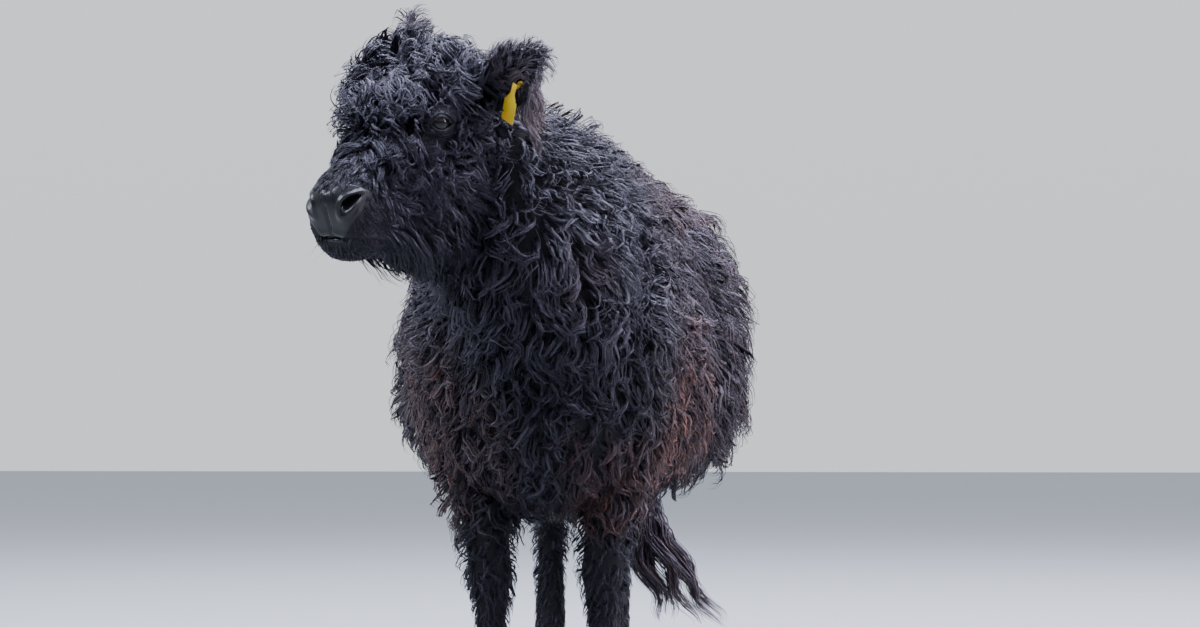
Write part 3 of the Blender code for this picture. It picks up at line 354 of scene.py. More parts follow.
HEAD_WAY = Vector((-math.sin(HEAD_TURN), -math.cos(HEAD_TURN), 0))
HEAD_LEFT = Vector((0, 0, 1)).cross(HEAD_WAY)


def head_frame():
    """Matrix of the head's own frame: X to her left, Y from the poll to the muzzle, Z up from the face."""
    ahead = HEAD_WAY * math.cos(HEAD_DROOP) - Vector((0, 0, math.sin(HEAD_DROOP)))
    left = HEAD_LEFT * math.cos(HEAD_TILT) + ahead.cross(HEAD_LEFT) * math.sin(HEAD_TILT)
    up = ahead.cross(left)
    return Matrix.Translation(POLL) @ Matrix((left, ahead, up)).transposed().to_4x4()


FRAME = np.array(head_frame())
TURN, MIDDLE = FRAME[:3, :3], FRAME[:3, 3]


def in_head(points):
    """Points of the head's frame in her own."""
    return np.asarray(points) @ TURN.T + MIDDLE


def to_head(points):
    return (points - MIDDLE) @ TURN


def trunk_rings(count=60, sides=56):
    rings = []
    for along, top, bottom, widest, half, square in smoothed(TRUNK, count):
        centre = (0, TRUNK_FRONT + along * TRUNK_LENGTH, widest)
        rings.append(ring(centre, (1, 0, 0), (0, 0, 1), half * BARREL_HALF, top * WITHERS - widest,
                          widest - bottom * WITHERS, square, sides))
    return rings


def neck_rings(count=28, sides=48):
    rows = smoothed([(*crest, *throat, half) for crest, throat, half in NECK], count)
    middles = (rows[:, :3] + rows[:, 3:6]) / 2
    rings = []
    for row, middle, ahead in zip(rows, middles, np.gradient(middles, axis=0)):
        rise = row[:3] - row[3:6]
        depth = np.linalg.norm(rise)
        across = unit(np.cross(ahead, rise / depth))
        rings.append(ring(middle, across, rise / depth, row[6], depth / 2, depth / 2, 0.92, sides))
    return rings


def head_rings(count=52, sides=56):
    rings = []
    for along, line, depth, widest, half, square in smoothed(HEAD, count):
        flat = ring((0, along * HEAD_LENGTH, line - widest), (1, 0, 0), (0, 0, 1), half, widest,
                    depth - widest, square, sides)
        rings.append(in_head(flat))
    return rings


def leg_rings(rows, side, shift, base, count=52, sides=36):
    rings = []
    for height, out, back, half, behind, ahead in smoothed(rows, count):
        low = min(1.0, max(0.0, (0.9 - height) / 0.5))
        centre = (side * out + shift[0] * low, base + back + shift[1] * low, height)
        rings.append(ring(centre, (1, 0, 0), (0, 1, 0), half, behind, ahead, 0.95, sides))
    return rings


def tail_rings(rows, count, sides=12):
    rows = smoothed(rows, count)
    rings = []
    for row, ahead in zip(rows, np.gradient(rows[:, :3], axis=0)):
        across = unit(np.cross(ahead, (0, 1, 0.3)))
        rings.append(ring(row[:3], across, unit(np.cross(across, ahead)), row[3], row[3], row[3], 1, sides))
    return rings


def ball(centre, radii, axes=np.eye(3), sides=32, rows=16):
    """Points and faces of an ellipsoid; axes has its three directions as rows."""
    rings = []
    for k in range(rows + 1):
        turn = math.pi * min(max(k / rows, 0.01), 0.99)
        rings.append(ring((0, 0, radii[2] * math.cos(turn)), (radii[0] * math.sin(turn), 0, 0),
                          (0, radii[1] * math.sin(turn), 0), 1, 1, 1, 1, sides) @ np.asarray(axes) + centre)
    return loft(rings)


def eye_axes(side):
    """Directions along the open eye, up across it and out of it, in her own frame, as rows."""
    out = Vector((side, EYE_FORWARD, 0.15)).normalized()
    along = Vector((0, math.cos(LID_SLOPE), math.sin(LID_SLOPE)))
    along = (along - out * along.dot(out)).normalized()
    up = out.cross(along) * side
    return np.array([along, up if up.z > 0 else -up, out]) @ TURN.T


def on_side(place, side):
    """A place on her left, or its mirror image on her right where side is -1."""
    return np.array((place[0] * side, place[1], place[2]))


def eye_place(side):
    return in_head(on_side(EYE, side))


def ear_root(side):
    return in_head(on_side(EAR_ROOT, side))


def blended(obj, cell, rounds):
    """Joins the forms in a mesh into one surface and smooths it."""
    return applied(obj, ("REMESH", {"mode": "VOXEL", "voxel_size": cell}),
                   ("SMOOTH", {"factor": 0.5, "iterations": rounds}))


def body_skin():
    """Trunk, neck, head, legs and tail root as one surface, fine over the muzzle and round the eyes."""
    trunk = blended(mesh_object("trunk", loft(trunk_rings()), loft(neck_rings())), TRUNK_CELL, 12)
    forms = [taken_apart(trunk), loft(head_rings()), loft(tail_rings(TAIL, 30))]
    forms += [loft(leg_rings(*leg)) for leg in LEGS.values()]
    for centre, radii in FORELOCK:
        forms.append(ball(in_head(centre), np.array(radii) - FORELOCK_HAIR, TURN.T))
    skin = blended(mesh_object("skin", *forms), SKIN_CELL, 7)
    work = bmesh.new()
    work.from_mesh(skin.data)
    for _ in range(2):
        picked_edges = []
        for edge in work.edges:
            place = to_head(np.array(edge.verts[0].co))
            from_eye = min(np.linalg.norm(place - on_side(EYE, side)) for side in SIDE)
            if place[1] > FINE_MUZZLE or from_eye < FINE_EYE:
                picked_edges.append(edge)
        bmesh.ops.subdivide_edges(work, edges=picked_edges, cuts=1, use_grid_fill=True, smooth=0.6)
    work.to_mesh(skin.data)
    work.free()
    return skin


def bare_line(place):
    """How far a place in the head's frame lies inside the bare pad of the nostrils and the upper lip."""
    l, a, u = place.T
    top = a - 0.450 + 0.75 * np.abs(l)
    sides = 0.064 - np.abs(l) - 0.8 * np.maximum(0, -0.075 - u)
    return np.minimum(np.minimum(top, sides), u + 0.131)


def sculpted(skin):
    """Sinks the eyes' hollows and shapes the nostrils, the lips and the groove between them."""
    points, normals = points_of(skin.data), normals_of(skin.data)
    for side in SIDE:
        axes = eye_axes(side)
        centre = eye_place(side) + axes[2] * SOCKET_OUT
        local = (points - centre) @ axes.T / SOCKET_RADII
        inside = (local**2).sum(axis=1) < 1
        flat = 1 - (local[inside, :2]**2).sum(axis=1)
        local[inside, 2] = -np.sqrt(np.maximum(flat, 0))
        points[inside] = local[inside] * SOCKET_RADII @ axes + centre
    place = to_head(points)
    for side in SIDE:
        out = unit(np.array((side * 0.45, 0.85, 0.10)))
        long = np.array((side * 0.70, -0.55, 0.40))
        long = unit(long - out * long.dot(out))
        wide = np.cross(out, long)
        wide *= 1 if wide[2] > 0 else -1
        away = place - (on_side(NOSTRIL, side) + (0, 0, 0.006))
        x, y, z = away @ long, away @ wide, away @ out
        y = y + 11 * (x + 0.004)**2
        reach = np.sqrt((x / 0.022)**2 + (y / (0.0080 + 0.10 * np.clip(0.012 - x, 0, 0.04)))**2)
        near = np.abs(z) < 0.045
        place -= np.outer(near * 0.024 * step(reach, 1.02, 0.45), out - wide * 0.25)
        place += np.outer(near * 0.0038 * np.exp(-((reach - 1.42) / 0.33)**2), out)
    l, a, u = place.T
    line = LIP_FRONT[1] + LIP_SLOPE * (a - LIP_FRONT[0])
    line = line + 0.004 * np.exp(-(l / 0.016)**2) * step(a, 0.42, 0.45)
    off = u - line
    lips = step(a, LIP_CORNER - 0.006, LIP_CORNER + 0.012)
    inward = normals @ TURN
    place += inward * (0.0028 * step(bare_line(place), -0.003, 0.003))[:, None]
    move = -0.0075 * np.exp(-(off / 0.0036)**2) + 0.0030 * np.exp(-((off - 0.012) / 0.008)**2)
    move += 0.0012 * np.exp(-((off + 0.012) / 0.008)**2)
    move -= 0.0030 * np.exp(-(l / 0.0035)**2) * (off > 0.006) * step(a, 0.43, 0.45) * step(u, -0.045, -0.060)
    place += inward * (move * lips)[:, None]
    skin.data.vertices.foreach_set("co", in_head(place).ravel())
    skin.data.update()
    return skin


class Surface:
    """A mesh to grow hair on: finds the nearest place on it and scatters roots over it."""

    def __init__(self, mesh):
        self.points, self.normals = points_of(mesh), normals_of(mesh)
        mesh.calc_loop_triangles()
        corners = np.empty(len(mesh.loop_triangles) * 3, int)
        mesh.loop_triangles.foreach_get("vertices", corners)
        self.corners = corners.reshape(-1, 3)
        self.tree = BVHTree.FromPolygons(self.points.tolist(), self.corners.tolist())
        a, b, c = (self.points[self.corners[:, k]] for k in range(3))
        self.areas = np.linalg.norm(np.cross(b - a, c - a), axis=1) / 2
        self.middles = (a + b + c) / 3
        self.flat = unit(self.normals[self.corners].sum(axis=1))

    def settle(self, points):
        """Brings points to the surface. Returns them with the smooth normals there."""
        found = np.array([self.tree.find_nearest(p)[2] for p in points.tolist()])
        normals = self.flat[found]
        away = ((points - self.middles[found]) * normals).sum(axis=1)
        return points - normals * away[:, None], normals

    def roots(self, keep, cell, rng):
        """Root points about one cell apart wherever keep(points, normals) is true."""
        faces = np.flatnonzero(keep(self.middles, self.flat))
        areas = self.areas[faces]
        count = int(areas.sum() / cell**2 * 7)
        place = np.searchsorted(np.cumsum(areas), rng.random(count) * areas.sum())
        pick = faces[place.clip(0, len(faces) - 1)]
        a, b = rng.random((2, count, 1))
        a, b = np.where(a + b > 1, 1 - a, a), np.where(a + b > 1, 1 - b, b)
        shares = np.hstack((1 - a - b, a, b))[:, :, None]
        points = (self.points[self.corners[pick]] * shares).sum(axis=1)
        normals = unit((self.normals[self.corners[pick]] * shares).sum(axis=1))
        cells = np.floor(points / (cell * 1.25)).astype(np.int64)
        _, first = np.unique(cells @ np.array((1, 4096, 4096 * 4096)), return_index=True)
        return points[first], normals[first]


def along_surface(way, normals, share=1.0):
    """Ways turned to run along the surface, in full or by a share."""
    return unit(way - normals * (way * normals).sum(axis=1)[:, None] * share)


def body_lie(points, normals):
    """The way the coat lies on the trunk, neck and legs: down, and further back along the trunk."""
    x, y, z = points.T
    back = np.clip(0.20 + 0.6 * y, 0.10, 0.75) * (z > 0.5)
    back = np.where(z > 0.5, np.where(y > 1.25, 0.0, back), 0.12)
    way = np.stack((0.30 * np.sign(x) * np.maximum(0, normals[:, 2]), back, np.full_like(x, -0.85)), axis=1)
    return along_surface(way, normals)


def head_lie(points, normals):
    """The coat's way on the head: from the poll down over the face, and down and back over the cheeks."""
    l, _, u = to_head(points).T
    top = step(u, -0.11, -0.03)
    way = np.stack((np.sign(l) * 0.45 * top, 0.85 * top - 0.45 * (1 - top), -0.95 * (1 - top)), axis=1)
    return along_surface(way @ TURN.T, normals)


def in_wedge(points):
    """True in the space of the head."""
    _, a, u = to_head(points).T
    (a0, u0), (a1, u1), (a2, u2) = HEAD_WEDGE
    behind = a0 + (u0 - u) * (a1 - a0) / (u0 - u1)
    below = u1 + (a - a1) * (u2 - u1) / (a2 - a1)
    return (a > behind) & (u > below)


def eye_distance(points, shift=(0, 0, 0), radii=(1, 1, 1)):
    """How far a place is from the nearer eye, or from a patch beside it in the patch's radii."""
    place = to_head(points)
    return np.minimum(*(np.linalg.norm((place - (on_side(EYE, side) + shift)) / radii, axis=1)
                        for side in SIDE))


def eye_zone(points):
    """How far a place is from the smooth patch before and below the nearer eye, in radii of the patch."""
    return eye_distance(points, *EYE_PATCH)


def coat_depth(points, normals):
    """How far the tips of the coat stand off the skin, as far as the solids reach."""
    z = points[:, 2]
    depth = COAT_DEPTH * np.clip((z - 0.10) / 0.30, 0.15, 1.0)
    place = to_head(points)
    head = HEAD_COAT * COAT_DEPTH * np.clip((0.80 - place[:, 1] / HEAD_LENGTH) / 0.25, 0, 1) + 0.003
    for centre, radii in FORELOCK:
        p, n = (place - centre) / radii, (normals @ TURN) / radii
        a, b, c = (n * n).sum(axis=1), (p * n).sum(axis=1), (p * p).sum(axis=1) - 1
        reach = (-b + np.sqrt(np.maximum(b * b - a * c, 0))) / a
        head = np.maximum(head, np.where(c < 0, np.minimum(reach, 0.065), 0))
    l, a, u = place.T
    head = head + 0.015 * step(l, 0.04, -0.11) * step(u, -0.04, 0.05) * step(a, 0.24, 0.06)
    x, y, _ = points.T
    flank = 1 + 0.55 * step(x, 0.12, 0.26) * step(z, 0.78, 0.95) * step(y, 0.25, 0.5)
    elbow = 1 - 0.45 * step(z, 0.40, 0.50) * step(z, 0.84, 0.70) * step(y, 0.45, 0.25)
    edge = 1 + step(x, 0.18, 0.26) * (0.22 * step(y, 0.08, 0.18) * step(y, 0.27, 0.22)
                                      - 0.45 * step(y, 0.25, 0.29) * step(y, 0.42, 0.34)) * step(z, 1.0, 0.9)
    return np.where(in_wedge(points), head, depth * flank * elbow * edge)


def rusty(points):
    """How far the tips are bleached to a rusty brown."""
    x, y, z = points.T
    right = 0.7 * step(x, -0.11, -0.20) * step(y, 0.42, 0.22) * step(z, 0.36, 0.46) * step(z, 0.92, 0.70)
    left = (1.45 * step(x, 0.09, 0.24) * step(y, -0.20, 0.06) * step(y, 0.62, 0.08) * step(z, 0.34, 0.54)
            * step(z, 1.10, 0.62) * (0.55 + 0.60 * mottle(points, 0.10)))
    flank = (0.13 + 0.27 * mottle(points, 0.16)) * step(y, 0.05, 0.35) * step(z, 0.45, 0.75)
    ridge = 0.50 * step(z, 0.98, 1.10) * step(y, -0.02, 0.2)
    arm = 0.60 * step(x, 0.03, 0.10) * step(y, 0.15, -0.05) * step(z, 0.36, 0.44) * step(z, 0.66, 0.54)
    patches = 0.30 * step(mottle(points, 0.25), 0.55, 0.95) * step(z, 0.36, 0.5) * ~in_wedge(points)
    return np.maximum.reduce((right, left, flank, ridge, arm, patches))


def dull_shaded_share(points):
    """Share of the locks that are dull and painted darker as painted shade: most of them low down in front,
    few on the back.
    """
    _, y, z = points.T
    low = 0.90 * step(z, 0.92, 0.60) * step(y, 0.55, 0.15)
    return np.maximum(low, 0.10 + 0.50 * step(z, 0.92, 0.58)) * (0.75 + 0.5 * mottle(points, 0.12))


def mottle(points, scale):
    """A soft random pattern from 0 to 1 in space, with patches about that size."""
    total = np.zeros(len(points))
    rng = np.random.default_rng(SEED)
    for _ in range(7):
        way = rng.normal(0, 1, 3)
        total += np.sin(points @ (way / np.linalg.norm(way)) * (math.pi / scale * rng.uniform(0.7, 1.5))
                        + rng.uniform(0, 7))
    return np.clip(0.5 + total * 0.17, 0, 1)


def even(number):
    """A depth or a size that is the same all over."""
    return lambda points, normals: np.full(len(points), number)


def strands(surface, keep, lie, cell, length, width, wave, turns, rings, seed, clump, gather, lift=1.0,
            hang=0.0, depth=coat_depth, share=even(1.0), rust=rusty, spread=0.35, curl=(0.0, 0.0), steps=7,
            flat=0.55, hold=1.0, fine_share=0.45):
    """Tapered, wavy locks of hair, as numbers: the centres, sides and tops of their rings, and their colour.

    Locks of one clump share their bend, curl and waves, and draw together towards their tips. A hold of one
    keeps them on the surface, and less lets them leave it at its edges.
    """
    rng = np.random.default_rng(SEED + seed)
    roots, normals = surface.roots(keep, cell, rng)
    count = len(roots)
    centres, centre_normals = surface.roots(keep, clump, rng)
    tree = KDTree(len(centres))
    for i, place in enumerate(centres.tolist()):
        tree.insert(place, i)
    tree.balance()
    own = np.array([tree.find(p)[1] for p in roots.tolist()])
    clumps = len(centres)
    size, guide_size = share(roots, normals), share(centres, centre_normals)
    bend = rng.normal(0, spread, clumps)
    hand = rng.choice((-1, 1), clumps)
    coil = rng.uniform(*curl, clumps) * hand
    long_of = rng.uniform(0.8, 1.15, clumps)
    longs = length * long_of[own] * rng.uniform(0.8, 1.12, count) * size

    def paths(points, normals, turn, coil, reach):
        lines, ups, ways = [], [], []
        for k in range(steps):
            angle = (turn + coil * (k / (steps - 1))**1.3)[:, None]
            way = lie(points, normals)
            way = way * np.cos(angle) + np.cross(normals, way) * np.sin(angle)
            lines.append(points)
            ups.append(normals)
            ways.append(way)
            if k < steps - 1:
                ahead = points + way * (reach / (steps - 1))[:, None]
                settled, normals = surface.settle(ahead)
                points = ahead + (settled - ahead) * hold
        return (resampled(np.stack(v, 1), rings) for v in (lines, ups, ways))
    jitter = 0.10 + 0.15 * rng.random(count)
    lines, ups, ways = paths(roots, normals, bend[own] + rng.normal(0, 1, count) * jitter, coil[own], longs)
    guides, _, _ = paths(centres, centre_normals, bend, coil, length * long_of * guide_size)
    ups, ways = unit(ups), unit(ways)
    t = np.linspace(0, 1, rings)
    pull = gather * rng.uniform(0.7, 1.1, count)[:, None] * (1 - (1 - t[None, :])**1.6)
    lines = lines + (guides[own] - lines) * pull[:, :, None]
    tall = depth(roots, normals) * lift * rng.uniform(0.8, 1.12, clumps)[own]
    fine = rng.random(count) < fine_share
    tall = tall * np.where(fine, rng.uniform(0.8, 1.05, count), np.sqrt(rng.uniform(0.12, 1.0, count)))
    tall = tall * (0.70 + 0.50 * mottle(roots, 0.11))
    rise = np.sin(2.1 * t)[None, :] * tall[:, None] - 0.002
    phase = rng.uniform(0, 2 * math.pi, clumps)[own] + rng.normal(0, 0.28, count)
    waves = turns * rng.uniform(0.75, 1.3, clumps)[own] * rng.uniform(0.95, 1.05, count)
    swing = wave * rng.uniform(0.55, 1.35, clumps)[own] * np.minimum(1, size)
    angle = 2 * math.pi * waves[:, None] * t[None, :] + phase[:, None]
    ramp = np.minimum(1, t * 3)[None, :] * (0.75 + 0.35 * t[None, :])
    sides = np.cross(ups, ways)
    lines = lines + sides * (swing[:, None] * ramp * np.sin(angle) * hand[own][:, None])[:, :, None]
    lines = lines + ups * (rise + 0.85 * swing[:, None] * ramp * np.cos(angle))[:, :, None]
    lines[:, :, 2] -= hang * size[:, None] * t[None, :]**2
    along = unit(np.gradient(lines, axis=1))
    twist = rng.normal(0, 0.30, count)[:, None] + 0.35 * np.sin(angle)
    sides = unit(np.cross(ups, along))
    tops = unit(np.cross(along, sides))
    sides, tops = (sides * np.cos(twist)[:, :, None] + tops * np.sin(twist)[:, :, None],
                   tops * np.cos(twist)[:, :, None] - sides * np.sin(twist)[:, :, None])
    taper = np.interp(t, (0, 0.15, 0.55, 0.82, 1), (0.60, 1, 0.72, 0.34, 0.03))
    broad = rng.uniform(0.75, 1.25, count) * np.where(fine, 0.30, 1.0)
    half = width / 2 * (broad * (0.6 + 0.4 * np.minimum(1.2, size)))[:, None] * taper[None, :]
    tone = np.clip(rng.random(clumps)[own] * 0.4 + rng.random(count) * 0.3 + 0.3 * mottle(roots, 0.16), 0, 1)
    # Painted shade: besides its random tone, each lock darkens towards the bottom of her body, to 0.14 of
    # itself below 0.52 m
    tone *= 0.14 + 0.86 * step(roots[:, 2], 0.52, 1.04)
    colour = rust(roots) * rng.uniform(0.35, 1.0, clumps)[own] * rng.uniform(0.6, 1.0, count)
    return {"lines": lines, "sides": sides, "tops": tops, "half": half, "tone": tone, "roots": roots,
            "normals": normals, "rust": colour, "long": longs, "flat": np.where(fine, 0.6, flat)}


def single_hairs(lines, beside, half, tone, rust=0.0, long=0.4, flat=0.55, normals=None):
    """Numbers like those of strands(), for hairs drawn one by one. Their sides stand square to beside."""
    along = unit(np.gradient(lines, axis=1))
    sides = unit(np.cross(along, beside))
    rust, long, flat = (np.full(len(lines), value) for value in (rust, long, flat))
    return {"lines": lines, "sides": sides, "tops": np.cross(along, sides),
            "half": np.broadcast_to(half, lines.shape[:2]), "tone": tone, "roots": lines[:, 0],
            "normals": sides[:, 0] if normals is None else normals, "rust": rust, "long": long, "flat": flat}


CAMERA_PLACE = np.array((CAMERA_DISTANCE * math.sin(CAMERA_TURN) - CAMERA_SIDE * math.cos(CAMERA_TURN),
                         -CAMERA_DISTANCE * math.cos(CAMERA_TURN) - CAMERA_SIDE * math.sin(CAMERA_TURN),
                         CAMERA_HEIGHT))


def tag_axes():
    """Place of the tag's pin in the ear, and directions across the tag, down it and out from the ear."""
    along, across, opening = ear_axes(1)
    place = in_head(EAR_ROOT) + along * (EAR_LENGTH * TAG_PLACE) + across * TAG_LOW
    place = place + opening * (EAR_CUP * 0.20)
    down = np.array((0, 0, -1)) - along * TAG_LEAN
    down = unit(down - opening * down.dot(opening))
    return place, np.cross(down, opening), down, opening


def picked(made, rows):
    """Some of the locks."""
    return {key: value[rows] for key, value in made.items()}


def clear_of_eyes(made):
    """Leaves out the locks that would hang before an open eye."""
    hit = np.zeros(len(made["lines"]), bool)
    for side in SIDE:
        x, y, out = np.moveaxis((made["lines"] - eye_place(side)) @ eye_axes(side).T, -1, 0)
        before = (np.hypot((x + 0.004) / EYE_ROOM[0], y / EYE_ROOM[1]) < 1) & (out > 0.004)
        hit |= before.any(axis=1)
    return picked(made, ~hit)


def clear_of_tag(made):
    """Leaves out the locks that would pass through the tag or hang before it in the photo."""
    place, side, down, opening = tag_axes()
    front = place + opening * TAG_FORWARD
    towards = unit(CAMERA_PLACE - front)
    away = made["lines"] - front
    ahead = (away @ opening) / (towards @ opening)
    away = away - towards * ahead[..., None]
    over = (np.abs(away @ side) < TAG_ROOM[0]) & (np.abs(away @ down - TAG_ROOM_LOW) < TAG_ROOM[1])
    return picked(made, ~(over & (ahead > -0.018) & (ahead < 0.25)).any(axis=1))


PIECE_LIMIT = 190000


def hair_objects(name, made, atlas, material, clear=True):
    """Turns strands into closed three-sided locks, in as many mesh pieces as the limit of a piece asks."""
    if clear:
        made = clear_of_tag(clear_of_eyes(made))
    total, rings = made["lines"].shape[:2]
    most = PIECE_LIMIT // (6 * (rings - 1) + 2)
    pieces = []
    for number, first in enumerate(range(0, total, most)):
        part = picked(made, slice(first, first + most))
        pieces.append(hair_mesh(f"{name}_{number + 1}" if total > most else name, part, atlas, material))
    return pieces


def hair_mesh(name, made, atlas, material):
    lines, half = made["lines"], made["half"][:, :, None]
    count, rings = lines.shape[:2]
    flat = made["flat"][:, None, None]
    low = -0.45 * flat * half * made["tops"]
    points = np.stack((lines - made["sides"] * half + low, lines + made["sides"] * half + low,
                       lines + made["tops"] * half * flat), axis=2)
    t = np.linspace(0, 1, rings)
    ring_of, side_of = np.divmod(np.arange(rings * 3), 3)
    start = (np.arange(rings - 1) * 3)[:, None]
    j, k = np.array((0, 1, 2)), np.array((1, 2, 0))
    quads = np.stack((start + j, start + k, start + 3 + k, start + 3 + j), axis=2).reshape(-1, 4)
    corners = np.concatenate(((0, 2, 1), quads.ravel(), np.array((0, 1, 2)) + (rings - 1) * 3))
    sizes = np.concatenate(((3,), np.full(len(quads), 4), (3,)))
    loops = (corners[None, :] + (np.arange(count) * rings * 3)[:, None]).ravel()
    totals = np.tile(sizes, count)
    mesh = bpy.data.meshes.new(name)
    mesh.vertices.add(count * rings * 3)
    mesh.vertices.foreach_set("co", points.astype(np.float32).ravel())
    mesh.loops.add(len(loops))
    mesh.loops.foreach_set("vertex_index", loops.astype(np.int32))
    mesh.polygons.add(len(totals))
    mesh.polygons.foreach_set("loop_start", np.concatenate(((0,), np.cumsum(totals)[:-1])).astype(np.int32))
    mesh.polygons.foreach_set("loop_total", totals.astype(np.int32))
    mesh.update(calc_edges=True)
    mesh.shade_smooth()
    spot = atlas(made["roots"], made["normals"])
    patch = np.stack((np.array((-1, 1, 0))[side_of], 2 * t[ring_of] - 1), axis=1) * 0.0015
    grain = np.stack(np.broadcast_arrays((side_of / 3 + 0.1)[None, :] + made["tone"][:, None] * 7,
                                         t[ring_of][None, :] * made["long"][:, None]), axis=2)
    for word, places in (("OFBake", spot[:, None, :] + patch[None, :, :]), ("Strand", grain)):
        at_corners = places.reshape(-1, 2)[loops].astype(np.float32)
        mesh.uv_layers.new(name=word).data.foreach_set("uv", at_corners.ravel())
    mark(mesh, "along", np.broadcast_to(t[ring_of], (count, rings * 3)))
    for word in ("tone", "rust"):
        mark(mesh, word, np.repeat(made[word], rings * 3))
    mesh.materials.append(material)
    return linked(name, mesh)


def make_atlas(skin):
    """Unwraps the skin onto flat charts, one for each region and facing, and packs them in the square."""
    regions = [in_wedge, lambda p: p[:, 1] > 1.43]
    for _, side, _, base in LEGS.values():
        regions.append(lambda p, s=side, b=base: (p[:, 2] < (0.55 if b else 0.45)) & (p[:, 0] * s > 0)
                       & ((p[:, 1] > TRUNK_MIDDLE) == (b > 0)))

    def sorted_out(points, normals):
        region = np.full(len(points), len(regions))
        for i, inside in reversed(list(enumerate(regions))):
            region[inside(points)] = i
        head = region == 0
        p, n = points.copy(), normals.copy()
        p[head], n[head] = to_head(points[head]), normals[head] @ TURN
        axis = np.abs(n).argmax(axis=1)
        facing = axis * 2 + (n[np.arange(len(n)), axis] > 0)
        flat = p[np.arange(len(p))[:, None], np.array(((1, 2), (0, 2), (0, 1)))[axis]]
        return region * 6 + facing, flat
    chart, flat = sorted_out(points_of(skin.data), normals_of(skin.data))
    boxes = {c: (flat[chart == c].min(axis=0), flat[chart == c].max(axis=0)) for c in np.unique(chart)}
    order = sorted(boxes, key=lambda c: -(boxes[c][1] - boxes[c][0])[1])
    scale, edge, gap = 1.0, 0.01, 0.012
    while True:
        x = y = row = edge
        spots = {}
        for c in order:
            wide, tall = (boxes[c][1] - boxes[c][0]) * scale + gap
            if x + wide > 1 - edge:
                x, y, row = edge, y + row, 0
            spots[c] = np.array((x, y))
            x, row = x + wide, max(row, tall)
        if y + row < 1 - edge:
            break
        scale *= 0.98
    charts = range((len(regions) + 1) * 6)
    low = np.array([boxes[c][0] if c in boxes else (0, 0) for c in charts])
    spot = np.array([spots.get(c, (0.5, 0.5)) for c in charts])

    def atlas(points, normals):
        chart, flat = sorted_out(points, normals)
        return np.clip((flat - low[chart]) * scale + spot[chart] + gap / 2, 0.003, 0.997)
    return atlas


def ear_axes(side):
    """Directions along the ear, across it and out of its cup."""
    raised, swept = EAR_RAISED[side], EAR_SWEPT[side]
    level = HEAD_LEFT * (side * math.cos(swept)) + HEAD_WAY * math.sin(swept)
    along = level * math.cos(raised) + Vector((0, 0, math.sin(raised)))
    opening = (HEAD_WAY * 0.93 - Vector((0, 0, 0.30))).normalized()
    opening = (opening - along * opening.dot(along)).normalized()
    return np.array(along), np.array(along.cross(opening) * side), np.array(opening)


def ear_form(side, count=22, steps=16):
    """A cupped ear from its rolled root to its blunt tip."""
    along, across, opening = ear_axes(side)
    root = ear_root(side)
    rings = []
    for t in np.linspace(0, 1, count):
        half = EAR_HALF * (0.42 + 1.9 * t * (1 - t) ** 0.9 + 0.02) * (1 - 0.75 * t**4)
        cup = EAR_CUP * (1 - 0.75 * t)
        middle = root + along * (EAR_LENGTH * t) + across * (0.012 * math.sin(math.pi * t))
        s = np.linspace(-1, 1, steps + 1)[:, None]
        thick = EAR_THICK * 0.8 * (1 - 0.6 * np.abs(s)) * (1 - 0.45 * t)
        line = middle + across * half * s - opening * (cup * (1 - s * s) - cup * 0.6)
        rings.append(np.vstack((line - opening * thick / 2, (line + opening * thick / 2)[::-1])))
    return mesh_object(f"ear_{SIDE[side]}_skin", loft(rings))


def ear_hair(side, atlas, material):
    """The shaggy hair of an ear, which fans out past its rim."""
    obj = ear_form(side)
    along, across, opening = ear_axes(side)
    root = ear_root(side)
    fan, length, cell, fringe = EAR_HAIRS[side]

    def aside(points):
        return ((points - root) @ across) / EAR_HALF

    def lie(points, normals):
        s = aside(points)
        way = along * 0.75 + across * np.clip(s * fan, -fan, fan)[:, None] - np.array((0, 0, 0.15))
        low = step(s, 0.1, 0.8)[:, None] * (side > 0)
        way = way * (1 - 0.6 * low) + np.array((0, 0, -0.75)) * low
        return along_surface(way, normals, 0.8)

    def size(points, normals):
        t, s = ((points - root) @ along) / EAR_LENGTH, aside(points)
        inside = np.where(normals @ opening > 0.3, 0.80, 1.0)
        return inside * (0.80 + 0.35 * t) * (1 + fringe * step(s, 0.2, 1.0) + 0.25 * step(s, -0.5, -1.0))
    # The tips bleach more towards the low edge of the ear, the fringe; this paleness is partly painted
    # backlight
    made = strands(Surface(obj.data), lambda p, n: (p - root) @ along > 0.022, lie, cell=cell, length=length,
                   width=0.0052, wave=0.0022, turns=1.2, rings=8, seed=60 + side, clump=0.014, gather=0.65,
                   depth=even(0.020), share=size, rust=lambda p: 0.30 + 0.80 * step(aside(p), -0.05, 0.6),
                   spread=0.22, curl=(0.0, 0.6), flat=0.3, hold=0.12, fine_share=0.5)
    return obj, hair_objects(f"coat_ear_{SIDE[side]}", made, atlas, material)


def shader(name, roughness=0.5, **sockets):
    """A Principled material, its node tree and its shader node."""
    made = bpy.data.materials.new(name)
    made.use_nodes = True
    tree = made.node_tree
    main = tree.nodes["Principled BSDF"]
    main.inputs["Roughness"].default_value = roughness
    for key, value in sockets.items():
        feed(tree, main.inputs[key.replace("_", " ")], value)
    return made, tree, main


def feed(tree, socket, value):
    """Links an output to a socket, or gives the socket a number or a colour of its own."""
    if isinstance(value, bpy.types.NodeSocket):
        tree.links.new(value, socket)
    else:
        socket.default_value = (*value, 1) if isinstance(value, tuple) else value


def node(tree, kind, **settings):
    """A new node. Each setting feeds the socket of that name, or else is a setting of the node itself."""
    made = tree.nodes.new(kind)
    for key, value in settings.items():
        if key in made.inputs:
            feed(tree, made.inputs[key], value)
        else:
            setattr(made, key, value)
    return made


